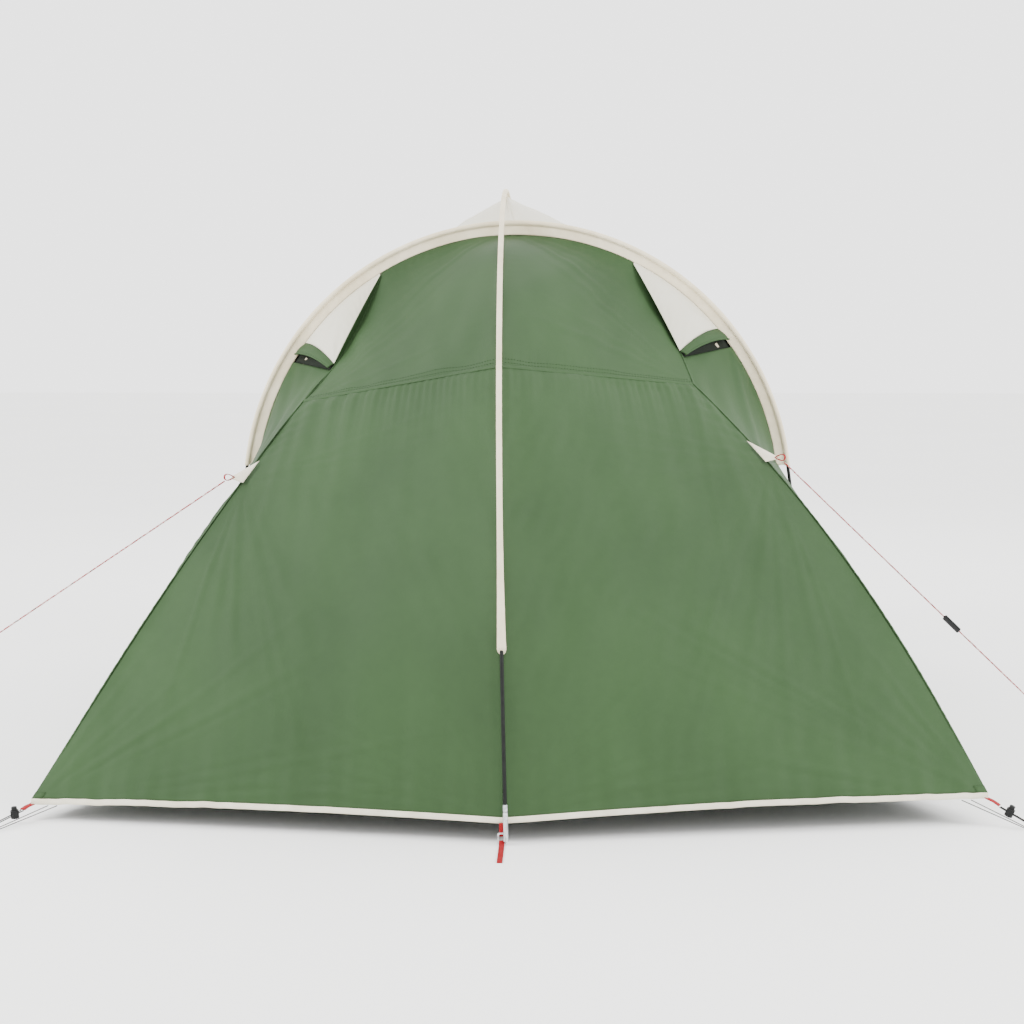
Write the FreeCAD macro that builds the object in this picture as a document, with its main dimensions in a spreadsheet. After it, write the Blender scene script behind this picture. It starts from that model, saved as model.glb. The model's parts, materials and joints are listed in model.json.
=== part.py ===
import FreeCAD, Part
import Sketcher
import math
import os

# Trekking tent on three fibreglass poles: a spine pole from end to end over two hoop poles.
# Millimetres. +X is the tent's right seen from the rear, +Y runs from the rear end to the door
# end, +Z is up. The origin is the centre of the groundsheet's underside, on the ground.

Vec = FreeCAD.Vector
Turn = FreeCAD.Rotation
Place = FreeCAD.Placement
UP = Vec(0, 0, 1)

# ---------------------------------------------------------------- driving dimensions
SIZES = {
    # spine pole: straight feet, then half an ellipse; its plane leans a little to the left
    "pole_diameter": 7.9,
    "spine_half_span": 1500,
    "spine_rise": 1321,
    "foot_height": 84,
    "spine_lean": 1.5,
    # the two hoops: an arc on straight, slightly splayed legs
    "hoop_setback": 500,
    "hoop_radius": 666,
    "hoop_centre_height": 636,
    "hoop_leg_angle": 8,
    "hoop_foot_height": 12,
    # sleeves
    "sleeve_inner_radius": 4.6,
    "sleeve_outer_radius": 6.4,
    "sleeve_web": 2,
    "spine_ridge_drop": 17,
    "crossing_drop": 39,
    "hoop_band_inner": 638,
    "sleeve_end_height": 396,
    # pole fittings
    "ferrule_length": 14,
    "ferrule_radius": 5.2,
    "tip_length": 64,
    "tip_radius": 5.2,
    # fly
    "fabric_thickness": 2,
    "hem_height": 12,
    "hem_thickness": 3,
    "foot_seam_out": 1484,
    "foot_seam_height": 40,
    "spine_seam_height": 963,
    "roof_panel_angle": 50,
    "roof_facet_width": 300,
    "hoop_foot_hem": 34,
    "waist": 10,
    "front_hood_angle": 62,
    "seam_gap": 3.2,
    # pitched points of the fly, left and right (out from the middle, back from the middle, height)
    "corner_out_left": 1022,
    "corner_out_right": 1015,
    "corner_back": 1280,
    "corner_height_left": 31,
    "corner_height_right": 54,
    "tab_out_left": 624,
    "tab_out_right": 582,
    "tab_back": 870,
    "tab_height_left": 696,
    "tab_height_right": 743,
    "seam_out_left": 497,
    "seam_out_right": 419,
    "seam_back": 730,
    "seam_height_left": 877,
    "seam_height_right": 917,
    "vent_out_left": 439,
    "vent_out_right": 397,
    "vent_back": 650,
    "vent_height_left": 948,
    "vent_height_right": 979,
    "brim_angle_left": 34,
    "brim_angle_right": 38,
    "hood_angle_left": 59,
    "hood_angle_right": 64,
    "vent_gap_angle": 6,
    # door
    "zip_offset": 22,
    "zip_tape_width": 11,
    "zip_slider_length": 14,
    # guy lines and corners
    "guy_diameter": 3,
    "guy_peg_out_left": 1680,
    "guy_peg_out_right": 1375,
    "guy_peg_back": 1150,
    "elastic_diameter": 2.5,
    "tie_diameter": 2,
    "peg_wire": 5,
    "peg_length": 180,
    "webbing_width": 15,
    "webbing_thickness": 2,
    "front_webbing_length": 50,
    # inner tent
    "floor_width": 1300,
    "floor_length": 2000,
    "floor_wall": 100,
    "floor_thickness": 3,
    "inner_ridge_height": 1150,
    "inner_ridge_half": 550,
    "doorway_half_width": 250,
    "doorway_height": 750,
}

doc = FreeCAD.newDocument("tent")
sheet = doc.addObject("Spreadsheet::Sheet", "sizes")
for row, (alias, value) in enumerate(SIZES.items(), start=1):
    sheet.set(f"A{row}", alias)
    sheet.set(f"B{row}", str(value))
    sheet.setAlias(f"B{row}", alias)
doc.recompute()


def size(alias):
    """The value of one cell of the sheet."""
    return float(sheet.get(alias))


SIDES = {"left": -1, "right": 1}
ENDS = {"rear": -1, "front": 1}
# the part of the spine seam that runs straight from the foot to the sleeve
STRAIGHT_SHARE = 0.38
# how quickly an edge that was moved at its end comes back to its line
END_EASE = 8
CROWN_EASE = 6
# the part of the panel beside the hoop that lies below the cross seam
TAB_TO_SEAM_SHARE = 0.6
# at the front this panel stops just short of the roof seam's end
FRONT_SEAM_END = 0.9
# the side wall's wing is this share of the skirt's hem wide at the corner
WING_SHARE = 0.03
sub_parts = []


def keep(thing, label):
    """Name a sub-part and put it on the list of pieces to write."""
    thing.Label = label
    sub_parts.append(thing)
    return thing


def feature(label, shape, placement=None):
    """A sub-part whose shape is worked out in code."""
    thing = doc.addObject("Part::Feature", label)
    thing.Shape = shape
    if placement is not None:
        thing.Placement = placement
    return keep(thing, label)


# ---------------------------------------------------------------- PartDesign helpers
def new_body(label):
    thing = doc.addObject("PartDesign::Body", label)
    thing.Label = label
    return thing


def origin_plane(body, role):
    return next(item for item in body.Origin.OriginFeatures if item.Role == role)


def sketch_on(body, role, name):
    sketch = body.newObject("Sketcher::SketchObject", name)
    sketch.AttachmentSupport = [(origin_plane(body, role), "")]
    sketch.MapMode = "FlatFace"
    return sketch


def bind(sketch, index, name, expression):
    """Give a dimension of a sketch a name and tie it to the sheet."""
    sketch.renameConstraint(index, name)
    sketch.setExpression(f"Constraints.{name}", expression)


def add_rectangle(sketch, prefix, width, height):
    """A rectangle centred on the sketch's origin; width and height are expressions."""
    first = sketch.GeometryCount
    corners = [Vec(-5, -4), Vec(5, -4), Vec(5, 4), Vec(-5, 4)]
    for number in range(4):
        sketch.addGeometry(Part.LineSegment(corners[number], corners[(number + 1) % 4]), False)
    for number in range(4):
        after = first + (number + 1) % 4
        sketch.addConstraint(Sketcher.Constraint("Coincident", first + number, 2, after, 1))
    for number, kind in enumerate(("Horizontal", "Vertical", "Horizontal", "Vertical")):
        sketch.addConstraint(Sketcher.Constraint(kind, first + number))
    sketch.addConstraint(Sketcher.Constraint("Symmetric", first, 1, first + 1, 2, -1, 1))
    across = sketch.addConstraint(Sketcher.Constraint("DistanceX", first, 1, first, 2, 10))
    bind(sketch, across, f"{prefix}_width", width)
    along = sketch.addConstraint(Sketcher.Constraint("DistanceY", first + 1, 1, first + 1, 2, 8))
    bind(sketch, along, f"{prefix}_height", height)


def add_circle(sketch, prefix, radius):
    """A circle on the sketch's origin; radius is an expression."""
    index = sketch.addGeometry(Part.Circle(Vec(0, 0), UP, 3), False)
    sketch.addConstraint(Sketcher.Constraint("Coincident", index, 3, -1, 1))
    about = sketch.addConstraint(Sketcher.Constraint("Radius", index, 3))
    bind(sketch, about, f"{prefix}_radius", radius)


def pad(body, sketch, name, length, midplane=False):
    result = body.newObject("PartDesign::Pad", name)
    result.Profile = sketch
    result.Midplane = midplane
    result.setExpression("Length", length)
    body.Tip = result
    return result


def pocket_through(body, sketch, name):
    """A cut right through the body, both ways from the sketch."""
    result = body.newObject("PartDesign::Pocket", name)
    result.Profile = sketch
    result.Type = "ThroughAll"
    result.Midplane = True
    body.Tip = result
    return result


def checked_cut(body, before, name):
    """Stop if a cut has taken nothing away."""
    doc.recompute()
    if body.Shape.Volume >= before - 0.1:
        raise RuntimeError(f"{name} cut nothing")


# ---------------------------------------------------------------- curves
def line(start, end):
    return lambda s: start + (end - start) * s


def through(points):
    """A smooth curve through a few points."""
    curve = Part.BSplineCurve()
    curve.interpolate(points)
    first, last = curve.FirstParameter, curve.LastParameter
    return lambda s: curve.value(first + (last - first) * s)


def joined(*parts):
    """Curves run one after another; each part is (share of the length, curve)."""
    def point(s):
        start = 0.0
        for share, curve in parts[:-1]:
            if s < start + share:
                return curve((s - start) / share)
            start += share
        share, curve = parts[-1]
        return curve(min(1.0, (s - start) / share))
    return point


def lean_at(height):
    """How far the spine's plane has leant to the left at a height."""
    return -height * math.tan(math.radians(size("spine_lean")))


def spine_angle(height):
    return math.asin((height - size("foot_height")) / size("spine_rise"))


def spine_point(end, angle, drop=0.0):
    """A point of the spine's ellipse, moved inwards by drop. The angle starts at the foot."""
    half, rise = size("spine_half_span"), size("spine_rise")
    inward_y, inward_z = rise * math.cos(angle), half * math.sin(angle)
    norm = math.hypot(inward_y, inward_z)
    y = half * math.cos(angle) - drop * inward_y / norm
    z = size("foot_height") + rise * math.sin(angle) - drop * inward_z / norm
    return Vec(lean_at(z), ENDS[end] * y, z)


def ridge_drop(angle):
    """The fly hangs closer under the spine pole, except where the spine passes over a hoop."""
    away = (size("spine_half_span") * math.cos(angle) - size("hoop_setback")) / 150.0
    return size("spine_ridge_drop") + size("crossing_drop") * math.exp(-away * away)


def ridge(end, side, angle, gap=2.0):
    point = spine_point(end, angle, ridge_drop(angle))
    return point + Vec(SIDES[side] * gap, 0, 0)


def spine_seam_edge(end, side):
    """The lower edge of the fly beside the spine, from the foot up to the cross seam."""
    foot = Vec(SIDES[side] * 2 - 5, ENDS[end] * size("foot_seam_out"), size("foot_seam_height"))
    low = spine_angle(size("sleeve_end_height"))
    high = spine_angle(size("spine_seam_height") + 15)
    straight = line(foot, ridge(end, side, low))
    curved = lambda s: ridge(end, side, low + (high - low) * s)
    return joined((STRAIGHT_SHARE, straight), (1 - STRAIGHT_SHARE, curved))


def upper_spine_edge(end, side):
    low = spine_angle(size("spine_seam_height") + 15)
    high = math.acos((size("hoop_setback") + 3) / size("spine_half_span"))
    return lambda s: ridge(end, side, low + (high - low) * s)


def hoop_point(side, angle_deg, y, radius=None):
    """A point on a hoop; below the leg angle the leg is straight."""
    r = size("hoop_band_inner") if radius is None else radius
    angle = math.radians(angle_deg)
    return Vec(SIDES[side] * r * math.cos(angle), y, size("hoop_centre_height") + r * math.sin(angle))


def leg_top(side, y, radius=None):
    return hoop_point(side, size("hoop_leg_angle"), y, radius)


def leg_point(side, y, height, radius=None):
    top = leg_top(side, y, radius)
    splay = math.tan(math.radians(size("hoop_leg_angle")))
    return Vec(top.x + SIDES[side] * (top.z - height) * splay, y, height)


def hoop_arc(side, y, low_deg, high_deg):
    return lambda s: hoop_point(side, low_deg + (high_deg - low_deg) * s, y)


# ---------------------------------------------------------------- panels
def coons(bottom, top, left, right):
    """The taut surface between four edges: bottom and top run across, left and right run up."""
    def point(u, v):
        across = bottom(u) * (1 - v) + top(u) * v
        upward = left(v) * (1 - u) + right(v) * u
        low = bottom(0) * (1 - u) + bottom(1) * u
        high = top(0) * (1 - u) + top(1) * u
        return across + upward - (low * (1 - v) + high * v)
    return point


def cloth_solid(net, thickness=None, trim=0.004, rows=7, inside=Vec(0, 0, 400)):
    """A panel of fly cloth: the surface of the net, given a thickness towards the inside."""
    thick = size("fabric_thickness") if thickness is None else thickness
    steps = [trim + (1 - 2 * trim) * k / (rows - 1) for k in range(rows)]
    grid = [[net(u, v) for v in steps] for u in steps]
    surface = Part.BSplineSurface()
    surface.interpolate(grid)
    face = surface.toShape()
    middle = net(0.5, 0.5)
    normal = (net(0.6, 0.5) - net(0.4, 0.5)).cross(net(0.5, 0.6) - net(0.5, 0.4))
    normal.normalize()
    if normal.dot(inside - middle) < 0:
        normal = normal * -1
    solid = face.extrude(normal * thick)
    if solid.Volume < 0:
        solid.reverse()
    return solid


def cloth(label, *nets, **options):
    solids = [cloth_solid(net, **options) for net in nets]
    return feature(label, solids[0] if len(solids) == 1 else Part.Compound(solids))


def corner(end, side):
    out = size(f"corner_out_{side}")
    return Vec(SIDES[side] * out, ENDS[end] * size("corner_back"), size(f"corner_height_{side}"))


def pitched(end, side, name):
    """A pitched point of the fly: tab, seam or vent."""
    out, height = size(f"{name}_out_{side}"), size(f"{name}_height_{side}")
    return Vec(SIDES[side] * out, ENDS[end] * size(f"{name}_back"), height)


def hoop_face(end, inside=False):
    """The Y of a hoop sleeve's face: outside is towards its own end of the tent."""
    gap = -3 if inside else 3
    return ENDS[end] * (size("hoop_setback") + gap)


def hood_top(end, side):
    angle = size(f"hood_angle_{side}") if end == "rear" else size("front_hood_angle")
    return hoop_point(side, angle, hoop_face(end))


def hem_edge(end, side):
    """The foot of the fly's end wall, from the spine to the corner, a little bowed upwards."""
    start, finish = spine_seam_edge(end, side)(0), corner(end, side)
    return lambda s: start + (finish - start) * s + UP * (8 * math.sin(math.pi * s))


def lifted(curve, rise):
    return lambda s: curve(s) + UP * rise


def lower_side_edge(end, side):
    """The seam between end wall and side wall, from the corner through the guy tab to the cross seam."""
    points = [corner(end, side), pitched(end, side, "tab"), pitched(end, side, "seam")]
    return through(points)


def upper_side_edge(end, side):
    points = [pitched(end, side, "seam"), pitched(end, side, "vent"), hood_top(end, side)]
    return through(points)


def cross_seam(end, side):
    return line(upper_spine_edge(end, side)(0), pitched(end, side, "seam"))


def end_panels(end, side):
    hem = lifted(hem_edge(end, side), size("hem_height"))
    spine_low = spine_seam_edge(end, side)
    low = spine_low(0) + UP * size("hem_height")
    inner = lambda s: spine_low(s) + (low - spine_low(s)) * (1 - s) ** END_EASE
    side_low = lower_side_edge(end, side)
    foot = side_low(0) + UP * size("hem_height")
    outer = lambda s: side_low(s) + (foot - side_low(0)) * (1 - s) ** END_EASE
    lower = coons(hem, cross_seam(end, side), inner, outer)
    face = hoop_face(end)
    angle = size(f"hood_angle_{side}") if end == "rear" else size("front_hood_angle")
    crown = hoop_arc(side, face, 90, angle)
    spine_high = upper_spine_edge(end, side)
    reach = spine_high(1) - crown(0)
    crown_met = lambda s: crown(s) + reach * (1 - s) ** CROWN_EASE
    upper = coons(cross_seam(end, side), crown_met, spine_high, upper_side_edge(end, side))
    return lower, upper


def middle_share(first, middle, last):
    """Where the middle one of three points lies on the smooth curve through them."""
    below = (middle - first).Length
    return below / (below + (last - middle).Length)


def side_panels(end, side):
    """The side wall of one end: a wing to the taut fold line, an upper part and a skirt."""
    face = hoop_face(end)
    rise = UP * size("hem_height")
    inwards = Vec(0, -ENDS[end] * size("seam_gap"), 0)
    seam = lower_side_edge(end, side)
    tab, seam_top, vent = (pitched(end, side, name) for name in ("tab", "seam", "vent"))
    at_tab = middle_share(corner(end, side), tab, seam_top)
    seam_low = lambda s: seam(s * at_tab) + rise * (1 - s) ** END_EASE + inwards
    foot_end = leg_point(side, face, size("hoop_foot_hem"), size("hoop_band_inner"))
    hem_line = line(corner(end, side), foot_end)
    corner_end = hem_line(WING_SHARE)
    top = leg_top(side, face)
    fold = line(corner_end + rise, top)
    wing = coons(line(seam_low(0), corner_end + rise), line(seam_low(1), top), seam_low, fold)
    gap_angle, at_high = size("front_hood_angle") - 3, FRONT_SEAM_END
    if end == "rear":
        gap_angle = size(f"brim_angle_{side}") - size("vent_gap_angle")
        at_high = middle_share(seam_top, vent, hood_top(end, side))
    above = upper_side_edge(end, side)
    seam_high = joined((TAB_TO_SEAM_SHARE, lambda s: seam(at_tab + (1 - at_tab) * s) + inwards),
                       (1 - TAB_TO_SEAM_SHARE, lambda s: above(s * at_high) + inwards))
    hoop_edge = hoop_arc(side, face, size("hoop_leg_angle"), gap_angle)
    upper = coons(line(seam_low(1), top), line(seam_high(1), hoop_edge(1)), seam_high, hoop_edge)
    skirt = coons(line(corner_end + rise, foot_end + rise), line(top - Vec(0, 0, 6), top),
                  fold, line(foot_end + rise, top))
    return wing, upper, skirt


def hood_panel(side):
    """The light vent hood, from the roof seam to the brim, and the brim along its lower edge."""
    face = hoop_face("rear")
    vent = pitched("rear", side, "vent")
    brim_low = hoop_point(side, size(f"brim_angle_{side}"), face)
    edge = through([vent, vent * 0.5 + hood_top("rear", side) * 0.5 + Vec(0, -8, 4), hood_top("rear", side)])
    start = edge(0.06)
    arc = hoop_arc(side, face, size(f"brim_angle_{side}") + 2, size(f"hood_angle_{side}") - 0.5)
    middle = (start + arc(0)) * 0.5 + Vec(0, -10, 10)
    hood = coons(through([start, middle, arc(0)]), line(edge(0.97), arc(1)),
                 lambda s: edge(0.06 + 0.91 * s), arc)
    drop = (brim_low - arc(0)) * 1.4
    outward = Vec(SIDES[side] * 6, -6, 0)
    rim = through([start, middle, arc(0)])
    brim = coons(lambda s: rim(s) + drop * (0.25 + 0.75 * s) + outward, rim,
                 line(rim(0) + drop * 0.25 + outward, rim(0)), line(rim(1) + drop + outward, rim(1)))
    return hood, brim


for side in SIDES:
    for end in ENDS:
        lower, upper = end_panels(end, side)
        if (end, side) != ("front", "right"):
            cloth(f"fly_{end}_lower_{side}", lower)
        cloth(f"fly_{end}_upper_{side}", upper)
        cloth(f"fly_{end}_side_{side}", *side_panels(end, side))
    cloth(f"vent_hood_{side}", *hood_panel(side))


def middle_wall(side, low_deg, high_deg):
    """The fly between the hoops: it follows them, slightly waisted, and rises to the spine."""
    inner = abs(hoop_face("rear", inside=True))
    ridge_top = size("hoop_centre_height") + size("hoop_band_inner")

    def point(u, v):
        y = inner * (2 * u - 1)
        middle = 1 - (y / inner) ** 2
        base = hoop_point(side, low_deg + (high_deg - low_deg) * v, y,
                          size("hoop_band_inner") - size("waist") * middle)
        angle = math.acos(abs(y) / size("spine_half_span"))
        spine = spine_point("rear", angle, ridge_drop(angle))
        lift = spine.z - ridge_top + size("waist") * middle
        slope = max(0.0, 1 - abs(base.x) / size("roof_facet_width"))
        shift = lean_at(spine.z) * slope * middle
        return base + Vec(shift + SIDES[side] * 2 * slope, 0, lift * slope)
    return point


def middle_skirt(side):
    inner = abs(hoop_face("rear", inside=True))

    def point(u, v):
        y = inner * (2 * u - 1)
        middle = 1 - (y / inner) ** 2
        radius = size("hoop_band_inner") - size("waist") * middle
        low = leg_point(side, y, size("hoop_foot_hem") + size("hem_height"), radius)
        return low + (leg_top(side, y, radius) - low) * v
    return point


for side in SIDES:
    cloth(f"fly_roof_{side}", middle_wall(side, size("roof_panel_angle"), 90), rows=9)
    wall = middle_wall(side, size("hoop_leg_angle"), size("roof_panel_angle"))
    cloth(f"fly_middle_side_{side}", wall, middle_skirt(side))

# ---------------------------------------------------------------- the door
zip_foot = Vec(size("zip_offset"), size("foot_seam_out"), size("foot_seam_height"))
zip_top_angle = spine_angle(size("spine_seam_height") - 12)
zip_head = spine_point("front", zip_top_angle, size("spine_ridge_drop") + 4)
zip_head.x = size("zip_offset")
zip_middle = spine_point("front", zip_top_angle * 0.45, size("spine_ridge_drop") + 6)
zip_middle.x = size("zip_offset")
zip_circle = Part.Arc(zip_foot, zip_middle, zip_head).toShape().Curve
zip_centre, zip_radius = zip_circle.Center, zip_circle.Radius


def zip_angle(point):
    return math.atan2(point.z - zip_centre.z, point.y - zip_centre.y)


def zip_point(s, x=None, out=0.0):
    """A point of the zip's arc, from the foot (0) to the head (1)."""
    angle = zip_angle(zip_foot) * (1 - s) + zip_angle(zip_head) * s
    r = zip_radius + out
    across = size("zip_offset") if x is None else x
    return Vec(across, zip_centre.y + r * math.cos(angle), zip_centre.z + r * math.sin(angle))


door_hem_line = hem_edge("front", "right")
fold_low = door_hem_line(0.985) + UP * size("hem_height")
fold_high = zip_point(1.0)
fold_axis = fold_low - fold_high
fold_axis.normalize()
hem_start = door_hem_line(0.022) + UP * size("hem_height")


def door_net():
    """The door flap hangs from the fold line and is free along the zip and the hem."""
    half = size("zip_offset") + size("zip_tape_width") + 1
    free = lambda s: zip_point(0.012 + 0.972 * s, x=half)
    # across runs from the zip to the fold line, upward from the hem to the head
    inward = (free(0) - fold_high) - fold_axis * (free(0) - fold_high).dot(fold_axis)
    inward.normalize()
    hem_low = lambda s: door_hem_line(0.035 + 0.94 * s) + UP * (size("hem_height") + 1)
    start = hem_low(1) + inward * 2
    finish = fold_high + inward * 3 + fold_axis * 14
    fold = line(start, finish)
    return coons(hem_low, line(free(1), finish), free, fold)


def door_fixed_net():
    """The part of the door end that stays put, between the fold line, the seams and the spine."""
    outward = fold_axis.cross(Vec(0, 1, 0))
    outward.normalize()
    if outward.z < 0:
        outward = outward * -1
    low = line(fold_high + outward * size("seam_gap") + Vec(-8, 0, 0), fold_low + outward * size("seam_gap"))
    side_edge = lower_side_edge("front", "right")
    return coons(low, cross_seam("front", "right"),
                 line(low(0), cross_seam("front", "right")(0)), lambda s: side_edge(0.03 + 0.97 * s))


cloth("door_flap", door_net(), trim=0.0)
cloth("fly_front_lower_right", door_fixed_net(), trim=0.003)


def zip_tape(label, x_near, x_far, out):
    width = x_far - x_near
    net = lambda u, v: zip_point(0.01 + 0.965 * v, x=x_near + width * u, out=out)
    return cloth(label, net, thickness=1.2, trim=0.0)


tape = size("zip_tape_width")
zip_line = size("zip_offset")
zip_tape("zip_tape_fixed", zip_line - tape - 8, zip_line - 0.4, 0.0)
zip_tape("zip_tape_door", zip_line + 0.4, zip_line + tape, 0.0)

slider_body = new_body("zip_slider")
slider_base = sketch_on(slider_body, "XZ_Plane", "slider_outline")
add_rectangle(slider_base, "slider", "sizes.zip_tape_width - 2", "sizes.zip_slider_length")
pad(slider_body, slider_base, "slider_plate", "4")
slider_slot = sketch_on(slider_body, "XY_Plane", "slider_loop")
add_rectangle(slider_slot, "loop", "sizes.zip_tape_width - 6", "3")
slider_slot.AttachmentOffset = Place(Vec(0, -2, 0), Turn())
slider_at = zip_point(0.035, x=zip_line - tape / 2 - 0.6, out=1.6)
slider_turn = Turn(Vec(1, 0, 0), math.degrees(zip_angle(slider_at)))
doc.recompute()
before_loop = slider_body.Shape.Volume
pocket_through(slider_body, slider_slot, "pull_loop")
checked_cut(slider_body, before_loop, "pull_loop")
slider_body.Placement = Place(slider_at + Vec(0, 4.2, 0), slider_turn)
keep(slider_body, "zip_slider")

pull_body = new_body("zip_pull")
pull_outline = sketch_on(pull_body, "XZ_Plane", "pull_outline")
add_rectangle(pull_outline, "pull", "5", "28")
pad(pull_body, pull_outline, "pull_plate", "1.6")
pull_at = slider_at + Vec(0, 7.2, -12)
pull_body.Placement = Place(pull_at, Turn())
keep(pull_body, "zip_pull")

# ---------------------------------------------------------------- hems
def hem_net(curve, start=0.004, stop=0.996):
    return lambda u, v: curve(start + (stop - start) * u) + UP * (size("hem_height") * v * 0.9)


def side_hem(end, side):
    face = hoop_face(end)
    foot_end = leg_point(side, face, size("hoop_foot_hem"), size("hoop_band_inner"))
    return line(corner(end, side), foot_end)


def middle_hem(side):
    lower_edge = middle_skirt(side)
    return lambda s: lower_edge(s, 0.0) - UP * size("hem_height")


def hem_solid(curve, **span):
    return cloth_solid(hem_net(curve, **span), thickness=size("hem_thickness"), trim=0.0)


hems = []
for side in SIDES:
    for end in ENDS:
        if (end, side) != ("front", "right"):
            hems.append(hem_solid(hem_edge(end, side)))
        hems.append(hem_solid(side_hem(end, side), start=0.006))
    hems.append(hem_solid(middle_hem(side)))
feature("hem_tape", Part.Compound(hems))
feature("door_hem", hem_solid(door_hem_line, start=0.036, stop=0.972))

# ---------------------------------------------------------------- poles and sleeves
def pipe(edges, profile):
    """A profile carried along a path of tangent edges."""
    return Part.Wire(edges).makePipe(profile)


def round_face(at, along, radius):
    return Part.Face(Part.Wire([Part.Circle(at, along, radius).toShape()]))


def upright_spine_point(angle):
    """A point of the spine before it leans, by angle from the rear foot."""
    y = -size("spine_half_span") * math.cos(angle)
    return Vec(0, y, size("foot_height") + size("spine_rise") * math.sin(angle))


def spine_arc(first, last):
    """A short stretch of the spine's ellipse, as the circular arc through its ends and middle."""
    points = [upright_spine_point(angle) for angle in (first, (first + last) / 2, last)]
    return Part.Arc(*points).toShape()


def swept(edge, radius):
    start = edge.valueAt(edge.FirstParameter)
    along = edge.tangentAt(edge.FirstParameter)
    return pipe([edge], round_face(start, along, radius))


spine_turn = Place(Vec(0, 0, 0), Turn(Vec(0, 1, 0), -size("spine_lean")))
pole_radius = size("pole_diameter") / 2
SPINE_SECTIONS = 8
SLEEVE_LENGTHS = 8
section_gap = math.radians(0.06)
spine_sections = []
for number in range(SPINE_SECTIONS):
    first = math.pi * number / SPINE_SECTIONS
    last = math.pi * (number + 1) / SPINE_SECTIONS
    spine_sections.append(swept(spine_arc(first + section_gap, last - section_gap), pole_radius))
feature("spine_pole", Part.Compound(spine_sections), spine_turn)


def hoop_edges(end, radius, low_z):
    """Left leg, arc and right leg of a hoop, as tangent edges."""
    y = ENDS[end] * size("hoop_setback")
    left_foot, right_foot = (leg_point(side, y, low_z, radius) for side in SIDES)
    left_top, right_top = (leg_top(side, y, radius) for side in SIDES)
    crown = hoop_point("left", 90, y, radius)
    arc = Part.Arc(left_top, crown, right_top).toShape()
    left_leg = Part.LineSegment(left_foot, left_top).toShape()
    right_leg = Part.LineSegment(right_top, right_foot).toShape()
    return left_leg, arc, right_leg


def hoop_pole(end):
    """Two leg sections and four arc sections."""
    y = ENDS[end] * size("hoop_setback")
    radius = size("hoop_radius")
    left_leg, arc, right_leg = hoop_edges(end, radius, size("hoop_foot_height") + size("tip_length"))
    pieces = [swept(left_leg, pole_radius), swept(right_leg, pole_radius)]
    low, high = size("hoop_leg_angle") + 0.1, 180 - size("hoop_leg_angle") - 0.1
    step = (high - low) / 4
    for number in range(4):
        angles = [low + step * (number + part) for part in (0.001, 0.5, 0.999)]
        points = [hoop_point("right", angle, y, radius) for angle in angles]
        pieces.append(swept(Part.Arc(*points).toShape(), pole_radius))
    return Part.Compound(pieces)


for end in ENDS:
    feature(f"{end}_hoop_pole", hoop_pole(end))


def sleeve_solid(edge, inward, reach):
    """A tube round the pole with a flat web towards the fly, carried along the pole."""
    start, along = edge.valueAt(edge.FirstParameter), edge.tangentAt(edge.FirstParameter)
    inward = inward - along * inward.dot(along)
    inward.normalize()
    across = along.cross(inward)
    half_web, radius = size("sleeve_web") / 2, size("sleeve_outer_radius")
    root = start + inward * math.sqrt(radius ** 2 - half_web ** 2)
    near_left, near_right = root - across * half_web, root + across * half_web
    far = start + inward * reach
    far_left, far_right = far - across * half_web, far + across * half_web
    outline = Part.Wire([
        Part.Arc(near_right, start - inward * radius, near_left).toShape(),
        Part.LineSegment(near_left, far_left).toShape(),
        Part.LineSegment(far_left, far_right).toShape(),
        Part.LineSegment(far_right, near_right).toShape(),
    ])
    bore = Part.Wire([Part.Circle(start, along, size("sleeve_inner_radius")).toShape()])
    path = Part.Wire([edge])
    return path.makePipeShell([outline], True, True).cut(path.makePipeShell([bore], True, True))


def spine_sleeve():
    """The sleeve is sewn in eight lengths, which meet end to end."""
    low = spine_angle(size("sleeve_end_height"))
    step = (math.pi - 2 * low) / SLEEVE_LENGTHS
    pieces = []
    for number in range(SLEEVE_LENGTHS):
        first = low + step * number
        edge = spine_arc(first + section_gap / 4, first + step - section_gap / 4)
        start = edge.valueAt(edge.FirstParameter)
        inward = Vec(0, 0, size("foot_height")) - start
        pieces.append(sleeve_solid(edge, inward, size("spine_ridge_drop") - 1))
    return Part.Compound(pieces)


def hoop_sleeve(end):
    _, arc, _ = hoop_edges(end, size("hoop_radius"), size("hoop_foot_height"))
    start = arc.valueAt(arc.FirstParameter)
    inward = Vec(0, start.y, size("hoop_centre_height")) - start
    return sleeve_solid(arc, inward, size("hoop_radius") - size("hoop_band_inner"))


feature("spine_sleeve", spine_sleeve(), spine_turn)
for end in ENDS:
    feature(f"{end}_hoop_sleeve", hoop_sleeve(end))

# ---------------------------------------------------------------- pole feet: ferrules and tips
tip_body = new_body("tip_pattern")
tip_sketch = sketch_on(tip_body, "XY_Plane", "tip_outline")
add_circle(tip_sketch, "tip", "sizes.tip_radius")
tip_rod = pad(tip_body, tip_sketch, "tip_rod", "sizes.tip_length - 1")
doc.recompute()
edges = [f"Edge{index + 1}" for index, edge in enumerate(tip_body.Shape.Edges)
         if edge.Curve.TypeId == "Part::GeomCircle" and edge.CenterOfMass.z < 1]
nose = tip_body.newObject("PartDesign::Chamfer", "tip_nose")
nose.Base = (tip_rod, edges)
nose.Size = 2.5
tip_body.Tip = nose

ferrule_body = new_body("ferrule_pattern")
ferrule_sketch = sketch_on(ferrule_body, "XY_Plane", "ferrule_outline")
add_circle(ferrule_sketch, "outer", "sizes.ferrule_radius")
add_circle(ferrule_sketch, "bore", "sizes.pole_diameter / 2 + 0.05")
pad(ferrule_body, ferrule_sketch, "ferrule_tube", "sizes.ferrule_length")
doc.recompute()

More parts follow.
